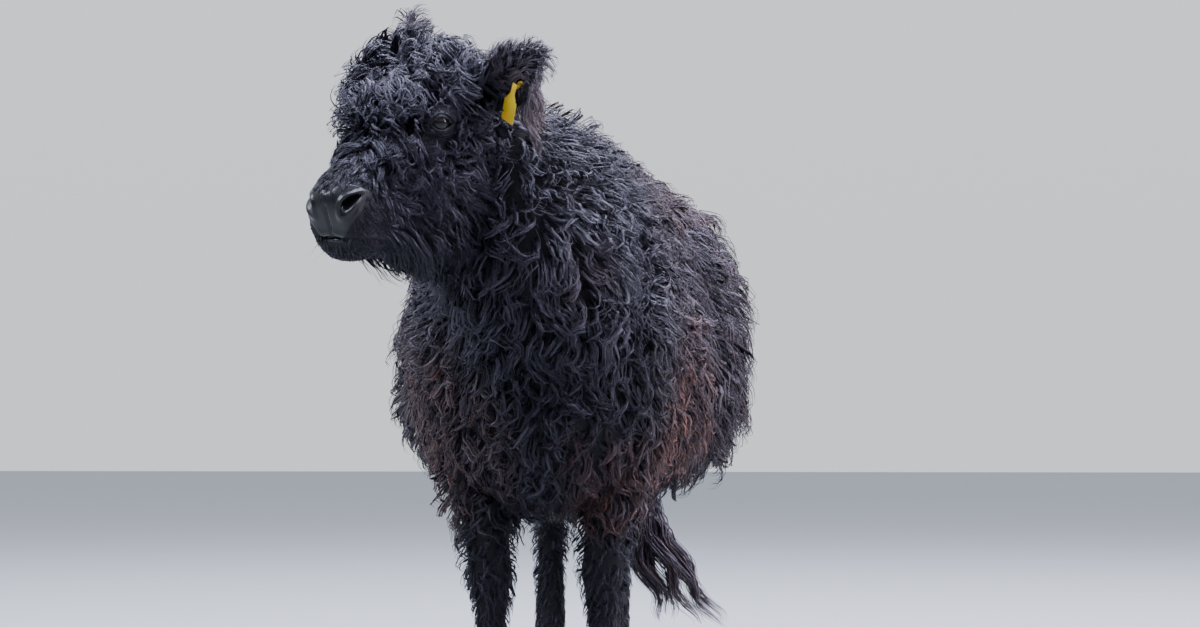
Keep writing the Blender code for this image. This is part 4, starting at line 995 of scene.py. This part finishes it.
def texture(tree, kind, **settings):
    """A texture on the object's own coordinates."""
    place = node(tree, "ShaderNodeTexCoord").outputs["Object"]
    return node(tree, f"ShaderNodeTex{kind}", Vector=place, **settings)


def attribute(tree, name):
    return node(tree, "ShaderNodeAttribute", attribute_name=name).outputs["Fac"]


def ranged(tree, value, *limits, **settings):
    """A value carried from one range of numbers to another, whose four limits are given in order."""
    made = node(tree, "ShaderNodeMapRange", **settings)
    for number, socket in zip((value, *limits), made.inputs):
        feed(tree, socket, number)
    return made.outputs[0]


def mixed(tree, share, a, b):
    """A colour between a and b, each a colour or an output."""
    mix = node(tree, "ShaderNodeMix", data_type="RGBA")
    for value, socket in ((a, mix.inputs[6]), (b, mix.inputs[7]), (share, mix.inputs[0])):
        feed(tree, socket, value)
    return mix.outputs[2]


def combined(tree, a, b, operation="MULTIPLY"):
    """Two numbers multiplied, or combined by another operation."""
    made = node(tree, "ShaderNodeMath", operation=operation)
    for value, socket in zip((a, b), made.inputs):
        feed(tree, socket, value)
    return made.outputs[0]


def bumped(tree, main, height, strength, distance):
    bump = node(tree, "ShaderNodeBump", Strength=strength, Distance=distance, Height=height)
    tree.links.new(bump.outputs["Normal"], main.inputs["Normal"])


BLACK_HAIR = (0.0085, 0.0075, 0.0110)
LIT_HAIR = (0.037, 0.028, 0.040)
RUST_HAIR = (0.440, 0.182, 0.106)
# The ears' hair is lighter than the body's: partly pale bleached tips, partly painted light standing in for
# light through the backlit fringe
FAWN_HAIR_BACKLIT = (0.640, 0.430, 0.360)
EAR_HAIR_BACKLIT = (0.360, 0.305, 0.385)
EAR_DARK_BACKLIT = (0.064, 0.056, 0.074)
# The dark end of the dull, less glossy copy of the coat: painted shade low down in front, on the face, the
# beard and the legs
SHADED_SLEEK_HAIR = (0.0036, 0.0034, 0.0042)


def coat_material(name, roughness, gloss, dark, lit, bleached=RUST_HAIR):
    """Near-black hair with fine fibres along each lock, a root painted darker as painted shade, and tips that
    bleach to a brown.
    """
    made, tree, main = shader(name, roughness, Specular_IOR_Level=gloss, Specular_Tint=(0.80, 0.80, 1.0),
                              Sheen_Weight=0.06, Sheen_Roughness=0.30, Sheen_Tint=(0.62, 0.54, 0.92))
    uv = node(tree, "ShaderNodeUVMap", uv_map="Strand").outputs["UV"]
    stretch = node(tree, "ShaderNodeMapping", Vector=uv)
    stretch.inputs["Scale"].default_value = (17.0, 13.0, 1.0)
    fibres = node(tree, "ShaderNodeTexNoise", Vector=stretch.outputs["Vector"], Scale=1.0, Detail=2.5,
                  Roughness=0.6).outputs["Fac"]
    split = ranged(tree, fibres, 0.36, 0.64, 0.10, 1.0)
    along = attribute(tree, "along")
    tips = combined(tree, combined(tree, along, 0.9, "POWER"), attribute(tree, "rust"))
    # Painted shade: the colour darkens towards the root of each lock, where the locks shade one another
    depth = combined(tree, combined(tree, along, 0.75), 0.25, "ADD")
    share = combined(tree, combined(tree, attribute(tree, "tone"), split), combined(tree, depth, 1.5))
    base = mixed(tree, share, dark, lit)
    brown = mixed(tree, split, tuple(0.45 * value for value in bleached), bleached)
    feed(tree, main.inputs["Base Color"], mixed(tree, tips, base, brown))
    bumped(tree, main, fibres, 1.0, 0.0030)
    return made


def skin_material():
    """Dark hide under the coat, and the bare, wet, pebbled muzzle, by the skin's own attribute."""
    made, tree, main = shader("hide_and_muzzle", 0.5, Specular_IOR_Level=0.32)
    bare = attribute(tree, "bare")
    pebbles = texture(tree, "Voronoi", Scale=420.0, feature="SMOOTH_F1").outputs["Distance"]
    pores = texture(tree, "Noise", Scale=160.0, Detail=4.0).outputs["Fac"]
    hide = mixed(tree, pores, (0.003, 0.0027, 0.004), (0.010, 0.009, 0.012))
    nose = mixed(tree, pores, (0.0025, 0.0027, 0.0035), (0.008, 0.0085, 0.011))
    feed(tree, main.inputs["Base Color"], mixed(tree, bare, hide, nose))
    wet = combined(tree, combined(tree, bare, -0.70), 0.80, "ADD")
    feed(tree, main.inputs["Roughness"], combined(tree, wet, combined(tree, pores, 0.12), "ADD"))
    bumped(tree, main, combined(tree, pebbles, bare), 0.35, 0.0009)
    return made


def lid_material():
    """The thin, dark, creased skin of the lids, a little moist, with a lighter bare rim that is painted
    lightest on the lower lid as a painted highlight.
    """
    made, tree, main = shader("lid_skin", 0.40, Specular_IOR_Level=0.40)
    creases = texture(tree, "Noise", Scale=260.0, Detail=4.0, Distortion=0.8).outputs["Fac"]
    # Lighter skin of the bare rim: partly the rim's own colour, and where strongest, on the lower lid, a
    # painted highlight
    bare = mixed(tree, creases, (0.016, 0.014, 0.018), (0.085, 0.074, 0.086))
    hide = (0.0045, 0.0040, 0.0052)
    feed(tree, main.inputs["Base Color"], mixed(tree, attribute(tree, "rim"), hide, bare))
    bumped(tree, main, creases, 0.5, 0.0010)
    return made


def eye_material():
    """A dark brown iris round a wide, level pupil, under a wet clear coat."""
    made, tree, main = shader("eye_wet", 0.12, Specular_IOR_Level=0.10, Coat_Weight=0.55, Coat_Roughness=0.02)
    rays = texture(tree, "Noise", Scale=900.0, Detail=3.0).outputs["Fac"]
    brown = mixed(tree, rays, (0.0035, 0.0018, 0.0015), (0.010, 0.005, 0.0032))
    white = mixed(tree, attribute(tree, "iris"), (0.022, 0.016, 0.018), brown)
    feed(tree, main.inputs["Base Color"], mixed(tree, attribute(tree, "pupil"), white, (0.002, 0.002, 0.003)))
    return made


def horn_material():
    """Dark hoof horn with growth rings and a dull, scuffed surface."""
    made, tree, main = shader("hoof_horn", 0.5)
    rings = texture(tree, "Wave", Scale=34.0, Distortion=2.5, bands_direction="Z").outputs["Fac"]
    dirt = texture(tree, "Noise", Scale=45.0, Detail=5.0).outputs["Fac"]
    feed(tree, main.inputs["Base Color"], mixed(tree, dirt, (0.022, 0.018, 0.016), (0.095, 0.080, 0.066)))
    feed(tree, main.inputs["Roughness"], combined(tree, combined(tree, dirt, 0.35), 0.30, "ADD"))
    bumped(tree, main, rings, 0.35, 0.0012)
    return made


def tag_material():
    """Yellow moulded plastic, a little weathered."""
    made, tree, main = shader("tag_plastic", 0.42, Subsurface_Weight=0.08)
    grime = texture(tree, "Noise", Scale=70.0, Detail=5.0).outputs["Fac"]
    feed(tree, main.inputs["Base Color"], mixed(tree, grime, (0.86, 0.58, 0.030), (0.70, 0.42, 0.018)))
    bumped(tree, main, texture(tree, "Noise", Scale=900.0, Detail=2.0).outputs["Fac"], 0.25, 0.0004)
    return made


def lid_form(side, material):
    """The lids: bare rims along the almond of the open eye, the fold above it and the bag below it."""
    axes, centre = eye_axes(side), eye_place(side)
    around, layers = 72, 15
    turn = np.arange(around) * 2 * math.pi / around
    x, y = np.cos(turn), np.sin(turn)
    tall = SLIT_HALF[1] * np.where(y > 0, 1.0, 0.82)
    rings = []
    for k in range(layers):
        s = k / (layers - 1)
        pinch = np.abs(y)**(0.45 * (1 - s))
        wide = SLIT_HALF[0] + 0.0100 * (x < 0) * (1 - s)**2 + 0.017 * s
        half = np.stack((x * wide, y * pinch * (tall + 0.019 * s)), axis=1)
        span = np.minimum((half**2).sum(axis=1), (EYE_RADIUS * 0.985)**2)
        dome = np.sqrt((EYE_RADIUS * 1.045)**2 - span) + 0.0008
        skin = 0.0075 - 0.006 * s
        edge = 0.0026 * math.exp(-(s / 0.12)**2) * np.where(y < 0, 1.5, 1.0)
        fold = 0.0058 * math.exp(-((s - 0.34) / 0.16)**2) * np.where(y > 0, 1.0, 0.30)
        crease = -0.0022 * math.exp(-((s - 0.14) / 0.05)**2) * np.where(y > 0, 1.0, 0.4)
        bag = 0.0032 * math.exp(-((s - 0.50) / 0.18)**2) * np.where(y < 0, 1.0, 0.0)
        share = np.clip((1 - s * 1.25), 0, 1)**0.8
        height = dome * share + skin * (1 - share) + edge + fold + crease + bag
        rings.append(centre + half @ axes[:2] + np.outer(height, axes[2]))
    back = centre + (rings[0] - centre) * 0.90 - axes[2] * 0.004
    obj = mesh_object(f"lids_{SIDE[side]}", (np.vstack([back] + rings), tube_faces(layers + 1, around)))
    rim = np.exp(-((np.arange(layers + 1) - 1) / 2.6)**2)
    # The rim's lighter colour: in full on the lower lid as a painted highlight, a third of it on the upper
    # lid
    mark(obj.data, "rim", np.outer(rim, np.where(y < 0, 1.0, 0.35)))
    return finished(applied(obj, ("SUBSURF", {"levels": 1, "render_levels": 1})), material)


def lid_hair(side, lids, atlas, material):
    """Short hair that lies back over the lids, and lashes along the upper rim."""
    axes, centre = eye_axes(side), eye_place(side)

    def clear(points, normals):
        x, y, out = ((points - centre) @ axes.T).T
        reach = np.hypot((x + 0.004) / (SLIT_HALF[0] + 0.0065), y / (SLIT_HALF[1] + 0.0030))
        return (reach > 1.12 + 0.14 * (y < 0)) & (out > 0) & (normals @ axes[2] > -0.2)

    def lie(points, normals):
        height = ((points - centre) @ axes.T)[:, 1:2]
        way = axes[1] * np.sign(height) * 0.35 * np.minimum(1, np.abs(height) / 0.01) - axes[0] * 0.9
        return along_surface(way, normals)
    made = strands(Surface(lids.data), clear, lie, cell=0.0022, length=0.017, width=0.0036, wave=0.0006,
                   turns=1.0, rings=4, seed=70 + side, clump=0.008, gather=0.4, steps=4, spread=0.2,
                   depth=even(0.0042), rust=lambda p: np.zeros(len(p)))
    rng = np.random.default_rng(SEED + 75 + side)
    count = 60
    turn = np.linspace(0.12, 0.88, count) * math.pi
    across, up = np.cos(turn) * (SLIT_HALF[0] + 0.001), np.sin(turn)**1.45 * (SLIT_HALF[1] + 0.0012)
    flat = np.stack((across, up), axis=1)
    height = np.sqrt((EYE_RADIUS * 1.06)**2 - (flat**2).sum(axis=1)) + 0.0015
    starts = centre + flat @ axes[:2] + np.outer(height, axes[2])
    t = np.linspace(0, 1, 6)
    out = unit(axes[2] * 0.9 + flat @ axes[:2] * 26 + rng.normal(0, 0.12, (count, 3)))
    lines = starts[:, None] + out[:, None] * (0.0125 * rng.uniform(0.7, 1.1, count)[:, None] * t)[:, :, None]
    lines[:, :, 2] -= 0.005 * np.sin(math.pi * t * 0.7)
    lashes = single_hairs(lines, axes[1], 0.00042 * (1 - 0.85 * t), rng.random(count), long=0.012, flat=0.7,
                          normals=out)
    return (hair_objects(f"coat_lids_{SIDE[side]}", made, atlas, material, clear=False)
            + hair_objects(f"lashes_{SIDE[side]}", lashes, atlas, material, clear=False))


def eye_form(side, material):
    """An eyeball with a bulged cornea, its iris and pupil marked by attributes."""
    points, faces = ball((0, 0, 0), (EYE_RADIUS,) * 3, sides=48, rows=32)
    tilt = np.arccos(np.clip(points[:, 2] / EYE_RADIUS, -1, 1))
    bulge = 1 + 0.05 * step(tilt, 0.75, 0.25)
    obj = mesh_object(f"eyeball_{SIDE[side]}", (points * bulge[:, None] @ eye_axes(side), faces))
    x, y, z = points.T / EYE_RADIUS
    mark(obj.data, "iris", step(tilt, 0.86, 0.74))
    mark(obj.data, "pupil", step(np.hypot(x / 0.46, y / 0.26), 1.12, 0.88) * (z > 0))
    obj.data.transform(Matrix.Translation(eye_place(side).tolist()))
    return finished(obj, material)


def claw_forms(name, material):
    """The two claws of a foot, with a rounded wall, a coronet and a flat sole."""
    rows, side, shift, base = LEGS[name]
    out, back = rows[-2][1:3]
    made = []
    for half, word in ((-1, "inner"), (1, "outer")):
        x, y = side * out + shift[0] + side * half * CLAW_APART, base + back + shift[1]
        rings = [ring((x, y, z), (1, 0, 0), (0, 1, 0), *spans, 0.85, 40) for z, *spans in CLAW]
        obj = finished(mesh_object(f"hoof_{name}_{word}", loft(rings)), material, 50)
        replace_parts(obj, f"claw_{name}_{word}")
        made.append(obj)
    return made


def tag_form(material):
    """The ear tag: a thin plate with round corners and a neck, and its pin with a button on each side."""
    place, side, down, opening = tag_axes()
    turned = side * math.cos(TAG_TURN) - opening * math.sin(TAG_TURN)
    face = opening * math.cos(TAG_TURN) + side * math.sin(TAG_TURN)
    half, shoulder, corner = TAG_SIZE[0] / 2, 0.026, 0.006
    bottom = shoulder + TAG_SIZE[1] - 0.010
    neck = [(0.007, -0.008), (0.0065, 0.008), (0.0075, 0.014), (half - 0.006, shoulder - 0.003)]
    mirrored = [(-x, y) for x, y in neck[::-1]]
    outline = mirrored[-1:] + neck
    right, high, low = half - corner, shoulder + corner, bottom - corner
    for x, y, first in ((right, high, -90), (right, low, 0), (-right, low, 90), (-right, high, 180)):
        for turn in np.radians(np.linspace(first, first + 90, 6)):
            outline.append((x + corner * math.cos(turn), y + corner * math.sin(turn)))
    flat = np.array(outline + mirrored[:-1])
    front = place + opening * TAG_FORWARD
    layers = []
    for z, inset in ((-0.0011, 0.0006), (-0.0006, 0), (0.0006, 0), (0.0011, 0.0006)):
        x, y = (flat - inset * np.sign(flat - (0, 0.03))).T
        curve = 0.004 * ((y - 0.02) / 0.06)**2
        layers.append(front + np.outer(x, turned) + np.outer(y, down) + np.outer(z - curve, face))
    parts = [loft(layers)]
    for low, high, radius in ((0.0151, 0.0188, 0.0042), (-0.011, 0.017, 0.0035), (-0.0135, -0.0095, 0.0095)):
        spans = ((low, radius * 0.88), (low + 0.0008, radius), (high - 0.0008, radius), (high, radius * 0.88))
        parts.append(loft([ring(place + opening * z, side, down, r, r, r, 1, 28) for z, r in spans]))
    return finished(mesh_object("tag_plate", *parts), material, 40)


def switch_hair(atlas, material):
    """The long wavy strands at the end of the tail."""
    rng = np.random.default_rng(SEED + 80)
    count, bundles, last = 520, 9, 59
    t = np.linspace(0, 1, 15)
    rows = smoothed(SWITCH, last + 1)
    bundle = rng.integers(0, bundles, count)
    turn = (2 * math.pi * bundle / bundles)[:, None]
    start = np.clip(rng.normal(0.02, 0.10, count), 0, 0.4)
    ends = rng.uniform(0.86, 1.0, bundles)[bundle]
    reach = np.clip(ends * rng.uniform(0.72, 1.0, count), 0.3, 1.0)
    at = (start[:, None] + (reach - start)[:, None] * t) * last
    low = np.floor(at).astype(int).clip(0, last - 1)
    path = rows[low] + (rows[low + 1] - rows[low]) * (at - low)[:, :, None]
    down = at / last
    spread = 0.012 + 0.072 * down**0.9
    phase = rng.uniform(0, 7, bundles)[bundle][:, None]
    wave = 0.014 * np.minimum(1, 3 * down) * np.sin(2 * math.pi * 3.4 * down + phase)
    around = np.stack((np.cos(turn) * spread + wave, np.sin(turn) * spread * 0.7 + 0.7 * wave[:, ::-1],
                       np.zeros_like(spread)), axis=2)
    loose = rng.normal(0, 1, (count, 1, 3)) * (0.0110 * (1 - 0.50 * down) + 0.0008)[:, :, None]
    lines = path[:, :, :3] + around + loose
    lines[:, :, 2] = np.maximum(lines[:, :, 2], 0.028)
    taper = 0.0023 * np.interp(t, (0, 0.1, 0.7, 1), (0.7, 1, 0.7, 0.08))
    made = single_hairs(lines, rng.normal(0, 1, (count, 1, 3)), taper * rng.uniform(0.6, 1.4, (count, 1)),
                        rng.random(count), rust=rng.uniform(0.0, 0.3, count))
    return hair_objects("coat_switch", made, atlas, material)


def whiskers(atlas, material):
    """A few long, thin hairs on the lips and the chin."""
    rng = np.random.default_rng(SEED + 90)
    starts, ways = [], []
    for side in np.repeat(list(SIDE), 16):
        a = rng.uniform(0.36, 0.455)
        starts.append((side * rng.uniform(0.030, 0.066), a, rng.uniform(-0.17, -0.075)))
        ways.append((side * rng.uniform(0.5, 1), rng.uniform(0.1, 0.9), rng.uniform(-0.9, -0.1)))
    starts, ways = in_head(np.array(starts)), unit(np.array(ways)) @ TURN.T
    t = np.linspace(0, 1, 7)
    long = rng.uniform(0.025, 0.060, len(starts))
    lines = starts[:, None] + ways[:, None] * (long[:, None] * t)[:, :, None]
    lines[:, :, 2] -= 0.010 * t**2
    made = single_hairs(lines, (0.3, 0.2, 1), 0.00045 * (1 - 0.8 * t), rng.random(len(starts)), long=long,
                        normals=ways)
    return hair_objects("whiskers", made, atlas, material)


# Where each region of the coat grows


def on_brow(points, normals):
    l, a, u = to_head(points).T
    return in_wedge(points) & (a < 0.275) & (u > -0.035 - 0.35 * np.abs(l)) & (eye_zone(points) > 0.92)


def on_cheek(points, normals):
    a = to_head(points)[:, 1]
    return in_wedge(points) & (a < 0.300) & ~on_brow(points, normals) & (eye_zone(points) > 1.0)


def on_face(points, normals):
    place = to_head(points)
    return in_wedge(points) & (bare_line(place) < -0.001) & (place[:, 1] > 0.235) & (eye_zone(points) > 1.3)


def on_socket(points, normals):
    return in_wedge(points) & (eye_zone(points) < 1.3) & (eye_distance(points) > 0.026)


def on_bridge(points, normals):
    place = to_head(points)
    _, a, u = place.T
    return (in_wedge(points) & (a > 0.225) & (a < 0.374) & (u > -0.19) & (eye_distance(points) > 0.040)
            & (bare_line(place) < -0.010))


def on_beard(points, normals):
    _, a, u = to_head(points).T
    facing_down = (normals @ TURN)[:, 2] < -0.30
    return in_wedge(points) & (a > 0.03) & (a < 0.410) & facing_down & (u < -0.14)


def on_neck(points, normals):
    behind = (points - NECK_ROOT[0]) @ NECK_ROOT[1]
    return ~in_wedge(points) & ((behind > 0) | (points[:, 1] < 0.22)) & (points[:, 2] > THIGH_TOP[0])


def leg_line(points, heights):
    """The height where two regions meet: the first on the fore legs, the second on the hind legs."""
    return np.where(points[:, 1] < TRUNK_MIDDLE, *heights)


def on_barrel(points, normals):
    above = points[:, 2] > leg_line(points, THIGH_TOP)
    return ~in_wedge(points) & ~on_neck(points, normals) & (points[:, 1] < TAIL_START) & above


def on_thigh(points, normals):
    z = points[:, 2]
    return ~in_wedge(points) & (z <= leg_line(points, THIGH_TOP)) & (z > leg_line(points, SHANK_TOP))


def on_shank(points, normals):
    z = points[:, 2]
    return (z <= leg_line(points, SHANK_TOP)) & (z > SHANK_FOOT) & (points[:, 1] < 1.44)


def on_dock(points, normals):
    return points[:, 1] >= TAIL_START


# How the size of the locks changes over a region


def shrunk(share, low, high):
    """A size that falls by a share between two distances from the poll."""
    return lambda points, normals: 1 - share * step(to_head(points)[:, 1], low, high)


def brow_size(points, normals):
    near = np.clip(step(eye_distance(points), 0.035, 0.075), 0.35, 1)
    return near * shrunk(0.35, 0.20, 0.27)(points, normals)


def cheek_size(points, normals):
    near = np.clip(step(eye_distance(points), 0.03, 0.08), 0.4, 1)
    return near * shrunk(0.45, 0.20, 0.29)(points, normals) * (
        1 + 0.35 * step(to_head(points)[:, 2], -0.16, -0.22))


def body_size(points, normals):
    x, y, z = points.T
    front = step(z, 0.62, 0.45) * (y < TRUNK_MIDDLE) * step(normals[:, 2], -0.75, -0.45)
    under = step(z, 0.74, 0.60) * step(np.abs(x), 0.14, 0.24) * step(y, 0.25, 0.45)
    right = step(x, -0.15, -0.25) * step(z, 0.90, 0.72) * (y < TRUNK_MIDDLE)
    crest = step(z, 1.02, 1.12) * step(y, 0.30, 0.05)
    return ((1 + 0.15 * step(normals[:, 2], -0.3, -0.8)) * (1 - 0.35 * front) * (1 - 0.40 * under)
            * (1 - 0.35 * right) * (1 - 0.30 * crest))


def thigh_size(points, normals):
    _, y, z = points.T
    return np.where(y < TRUNK_MIDDLE, 1 - 0.55 * step(z, 0.45, 0.30), 1 - 0.5 * step(z, 0.55, 0.43))


HEAD_STYLES = {
    "coat_brow": dict(
        keep=on_brow, cell=0.0056, length=0.064, width=0.0078, lift=1.12, wave=0.0020, turns=1.2, rings=11,
        seed=1, clump=0.0190, gather=0.90, share=brow_size, spread=0.95, curl=(3.4, 6.4), steps=10, flat=0.34,
        fine_share=0.22, hold=0.90),
    "coat_cheek": dict(
        keep=on_cheek, cell=0.0064, length=0.050, width=0.0078, wave=0.0036, turns=2.0, rings=8, seed=2,
        clump=0.018, gather=0.76, share=cheek_size, spread=0.40, hang=0.010, curl=(0.2, 1.8), flat=0.30),
    "coat_bridge": dict(
        keep=on_bridge, cell=0.0060, length=0.074, width=0.0082, wave=0.0030, turns=1.2, rings=8, seed=9,
        clump=0.021, gather=0.80, share=shrunk(0.52, 0.26, 0.37), spread=0.28, curl=(0.2, 1.3), flat=0.28,
        depth=lambda p, n: 0.023 - 0.016 * step(to_head(p)[:, 1], 0.27, 0.40)),
    "coat_beard": dict(
        keep=on_beard, cell=0.0066, length=0.080, width=0.0080, wave=0.0042, turns=2.0, rings=9, seed=10,
        clump=0.020, gather=0.7, share=shrunk(0.68, 0.31, 0.405), spread=0.4, hang=0.046, curl=(0.1, 1.0),
        flat=0.30, hold=0.7, depth=lambda p, n: 0.054 * step(to_head(p)[:, 1], 0.440, 0.32)),
    "coat_face": dict(
        keep=on_face, cell=0.0039, length=0.026, width=0.0044, wave=0.0010, turns=1.0, rings=3, seed=3,
        clump=0.011, gather=0.45, steps=3, spread=0.22, flat=0.40, depth=even(0.0075)),
    "coat_socket": dict(
        keep=on_socket, cell=0.0037, length=0.022, width=0.0036, wave=0.0008, turns=1.0, rings=4, seed=11,
        clump=0.012, gather=0.5, steps=4, spread=0.15, flat=0.35, depth=even(0.0050)),
}
BODY_STYLES = {
    "coat_neck": dict(
        keep=on_neck, cell=0.0113, length=0.070, width=0.0098, wave=0.0044, turns=1.8, rings=7, seed=4,
        clump=0.026, gather=0.82, share=body_size, hang=0.008, curl=(0.4, 2.6), flat=0.28, spread=0.28),
    "coat_barrel": dict(
        keep=on_barrel, cell=0.0165, length=0.104, width=0.0128, wave=0.0056, turns=1.5, rings=7, seed=5,
        clump=0.038, gather=0.82, share=body_size, hang=0.016, curl=(0.2, 1.5), flat=0.26, spread=0.26),
    "coat_thigh": dict(
        keep=on_thigh, cell=0.0120, length=0.066, width=0.0095, lift=0.58, wave=0.0034, turns=1.6, rings=7,
        seed=6, clump=0.024, gather=0.72, hang=0.006, share=thigh_size, curl=(0.2, 1.4), flat=0.26),
    "coat_shank": dict(
        keep=on_shank, cell=0.0086, length=0.038, width=0.0064, lift=0.70, wave=0.0016, turns=0.9, rings=4,
        seed=7, clump=0.015, gather=0.5, steps=4, curl=(0.1, 0.7), flat=0.3),
    "coat_dock": dict(
        keep=on_dock, cell=0.0090, length=0.078, width=0.0080, wave=0.0036, turns=1.4, rings=6, seed=8,
        clump=0.022, gather=0.7, flat=0.3, hang=0.010, depth=even(0.026)),
}


def grown_coat(surface, atlas, hair, sleek_shaded):
    """The locks of every region. On the neck and the barrel a share of them is dull and painted darker as
    painted shade, and so are the locks of the face, beard, thighs and shanks.
    """
    coat = []
    for lie, styles in ((head_lie, HEAD_STYLES), (body_lie, BODY_STYLES)):
        for name, style in styles.items():
            made = strands(surface, lie=lie, **style)
            if name in ("coat_neck", "coat_barrel"):
                # Dull locks: their lower gloss is their own, their darker colour is painted shade
                draw = np.random.default_rng(SEED + 90).random(len(made["roots"]))
                dull = draw < dull_shaded_share(made["roots"])
                coat += hair_objects(name + "_dull", picked(made, dull), atlas, sleek_shaded)
                made = picked(made, ~dull)
            finish = sleek_shaded if name in ("coat_face", "coat_beard", "coat_thigh", "coat_shank") else hair
            coat += hair_objects(name, made, atlas, finish)
    return coat


def dress():
    """Makes every piece in her own frame and hides the imported nodes that it replaces."""
    hair = coat_material("coat_hair", 0.36, 0.80, BLACK_HAIR, LIT_HAIR)
    # A darker, less glossy copy of the hair: the lower gloss is the hair's own, the darker colour is painted
    # shade
    sleek_shaded = coat_material("coat_hair_sleek_shaded", 0.32, 0.50, SHADED_SLEEK_HAIR, BLACK_HAIR)
    # Ear hair painted lighter as painted backlight, with pale bleached tips
    fawn_backlit = coat_material("coat_hair_ear_backlit", 0.36, 0.85, EAR_DARK_BACKLIT, EAR_HAIR_BACKLIT, FAWN_HAIR_BACKLIT)
    hide, wet, horn, lid_skin = skin_material(), eye_material(), horn_material(), lid_material()
    plain = body_skin()
    surface, atlas = Surface(plain.data), make_atlas(plain)
    skin = finished(sculpted(plain), hide)
    mark(skin.data, "bare", step(bare_line(to_head(points_of(skin.data))), -0.004, 0.004))
    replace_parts(skin, "torso", "neck", "head", "muzzle", "tail",
                *(f"{leg}_{part}" for leg in LEGS for part in ("upper", "lower")))
    coat = grown_coat(surface, atlas, hair, sleek_shaded)
    coat += switch_hair(atlas, hair)
    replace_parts(coat[-1], "tail_switch")
    coat += whiskers(atlas, hair)
    pieces = [skin]
    for side, name in SIDE.items():
        ear, fringe = ear_hair(side, atlas, fawn_backlit)
        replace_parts(finished(ear, hide), f"ear_{name}")
        coat += fringe
        eye = eye_form(side, wet)
        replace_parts(eye, f"eye_{name}")
        lids = lid_form(side, lid_skin)
        coat += lid_hair(side, lids, atlas, hair)
        pieces += [ear, eye, lids]
    for name in LEGS:
        pieces += claw_forms(name, horn)
    tag = tag_form(tag_material())
    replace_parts(tag, "ear_tag")
    return pieces + coat + [tag]


def packed_shift():
    """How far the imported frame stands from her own, read at the middle of her left eye."""
    low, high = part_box("eye_left")
    return (low + high) / 2 - Vector(eye_place(1))


def aim(obj, place, way):
    """Puts a light or a camera in its place, looking along a way."""
    obj.location = place
    obj.rotation_euler = way.to_track_quat("-Z", "Y").to_euler()


def light(name, place, target, size, power, colour):
    data = bpy.data.lights.new(name, "AREA")
    data.shape = "DISK"
    data.size, data.energy, data.color = size, power, colour
    aim(linked(name, data), place, Vector(target) - Vector(place))


def studio():
    """A pale floor and the soft light of an overcast sky."""
    size = 30.0
    corners = [(-size, -size, 0), (size, -size, 0), (size, size, 0), (-size, size, 0)]
    floor = mesh_object("floor", (corners, [(0, 1, 2, 3)]))
    made, tree, main = shader("pale_floor", 0.85)
    grain = node(tree, "ShaderNodeTexNoise", Scale=3.0, Detail=4.0).outputs["Fac"]
    feed(tree, main.inputs["Base Color"], mixed(tree, grain, (0.26, 0.265, 0.27), (0.30, 0.305, 0.31)))
    floor.data.materials.append(made)
    world = bpy.data.worlds.new("overcast")
    bpy.context.scene.world = world
    world.use_nodes = True
    tree = world.node_tree
    way = node(tree, "ShaderNodeSeparateXYZ", Vector=node(tree, "ShaderNodeTexCoord").outputs["Generated"])
    rising = ranged(tree, way.outputs["Z"], 0.02, 0.75, 0.0, 1.0, interpolation_type="SMOOTHSTEP")
    behind = ranged(tree, way.outputs["Y"], -0.88, 0.20, 0.0, 1.0, interpolation_type="SMOOTHSTEP")
    level = mixed(tree, behind, (0.22, 0.24, 0.29), (0.95, 0.98, 1.04))
    sky = mixed(tree, rising, level, (1.35, 1.46, 1.72))
    feed(tree, tree.nodes["Background"].inputs["Color"], sky)
    light("sky_above", (0.6, 0.7, 6.0), (0, 0.1, 0.8), 7.0, 1800, (0.79, 0.83, 1.0))
    light("sky_left", (-4.5, -2.2, 4.8), (0, -0.2, 0.9), 3.5, 320, (0.78, 0.84, 1.0))
    light("sky_right", (5.5, 0.5, 4.0), (0, 0.3, 0.8), 4.0, 480, (0.90, 0.81, 1.0))


def photo_camera(shift):
    right = Vector((math.cos(CAMERA_TURN), math.sin(CAMERA_TURN), 0))
    view = Vector((-math.sin(CAMERA_TURN), math.cos(CAMERA_TURN), 0))
    place = -CAMERA_DISTANCE * view - CAMERA_SIDE * right + Vector((0, 0, CAMERA_HEIGHT)) + shift
    data = bpy.data.cameras.new("photo_camera")
    data.lens, data.sensor_width = CAMERA_LENS, 36
    made = linked("photo_camera", data)
    aim(made, place, view * math.cos(CAMERA_PITCH) + Vector((0, 0, math.sin(CAMERA_PITCH))))
    bpy.context.scene.camera = made


shift = packed_shift()
for piece in dress():
    piece.data.transform(Matrix.Translation(shift))
    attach(piece, "root")
studio()
photo_camera(shift)
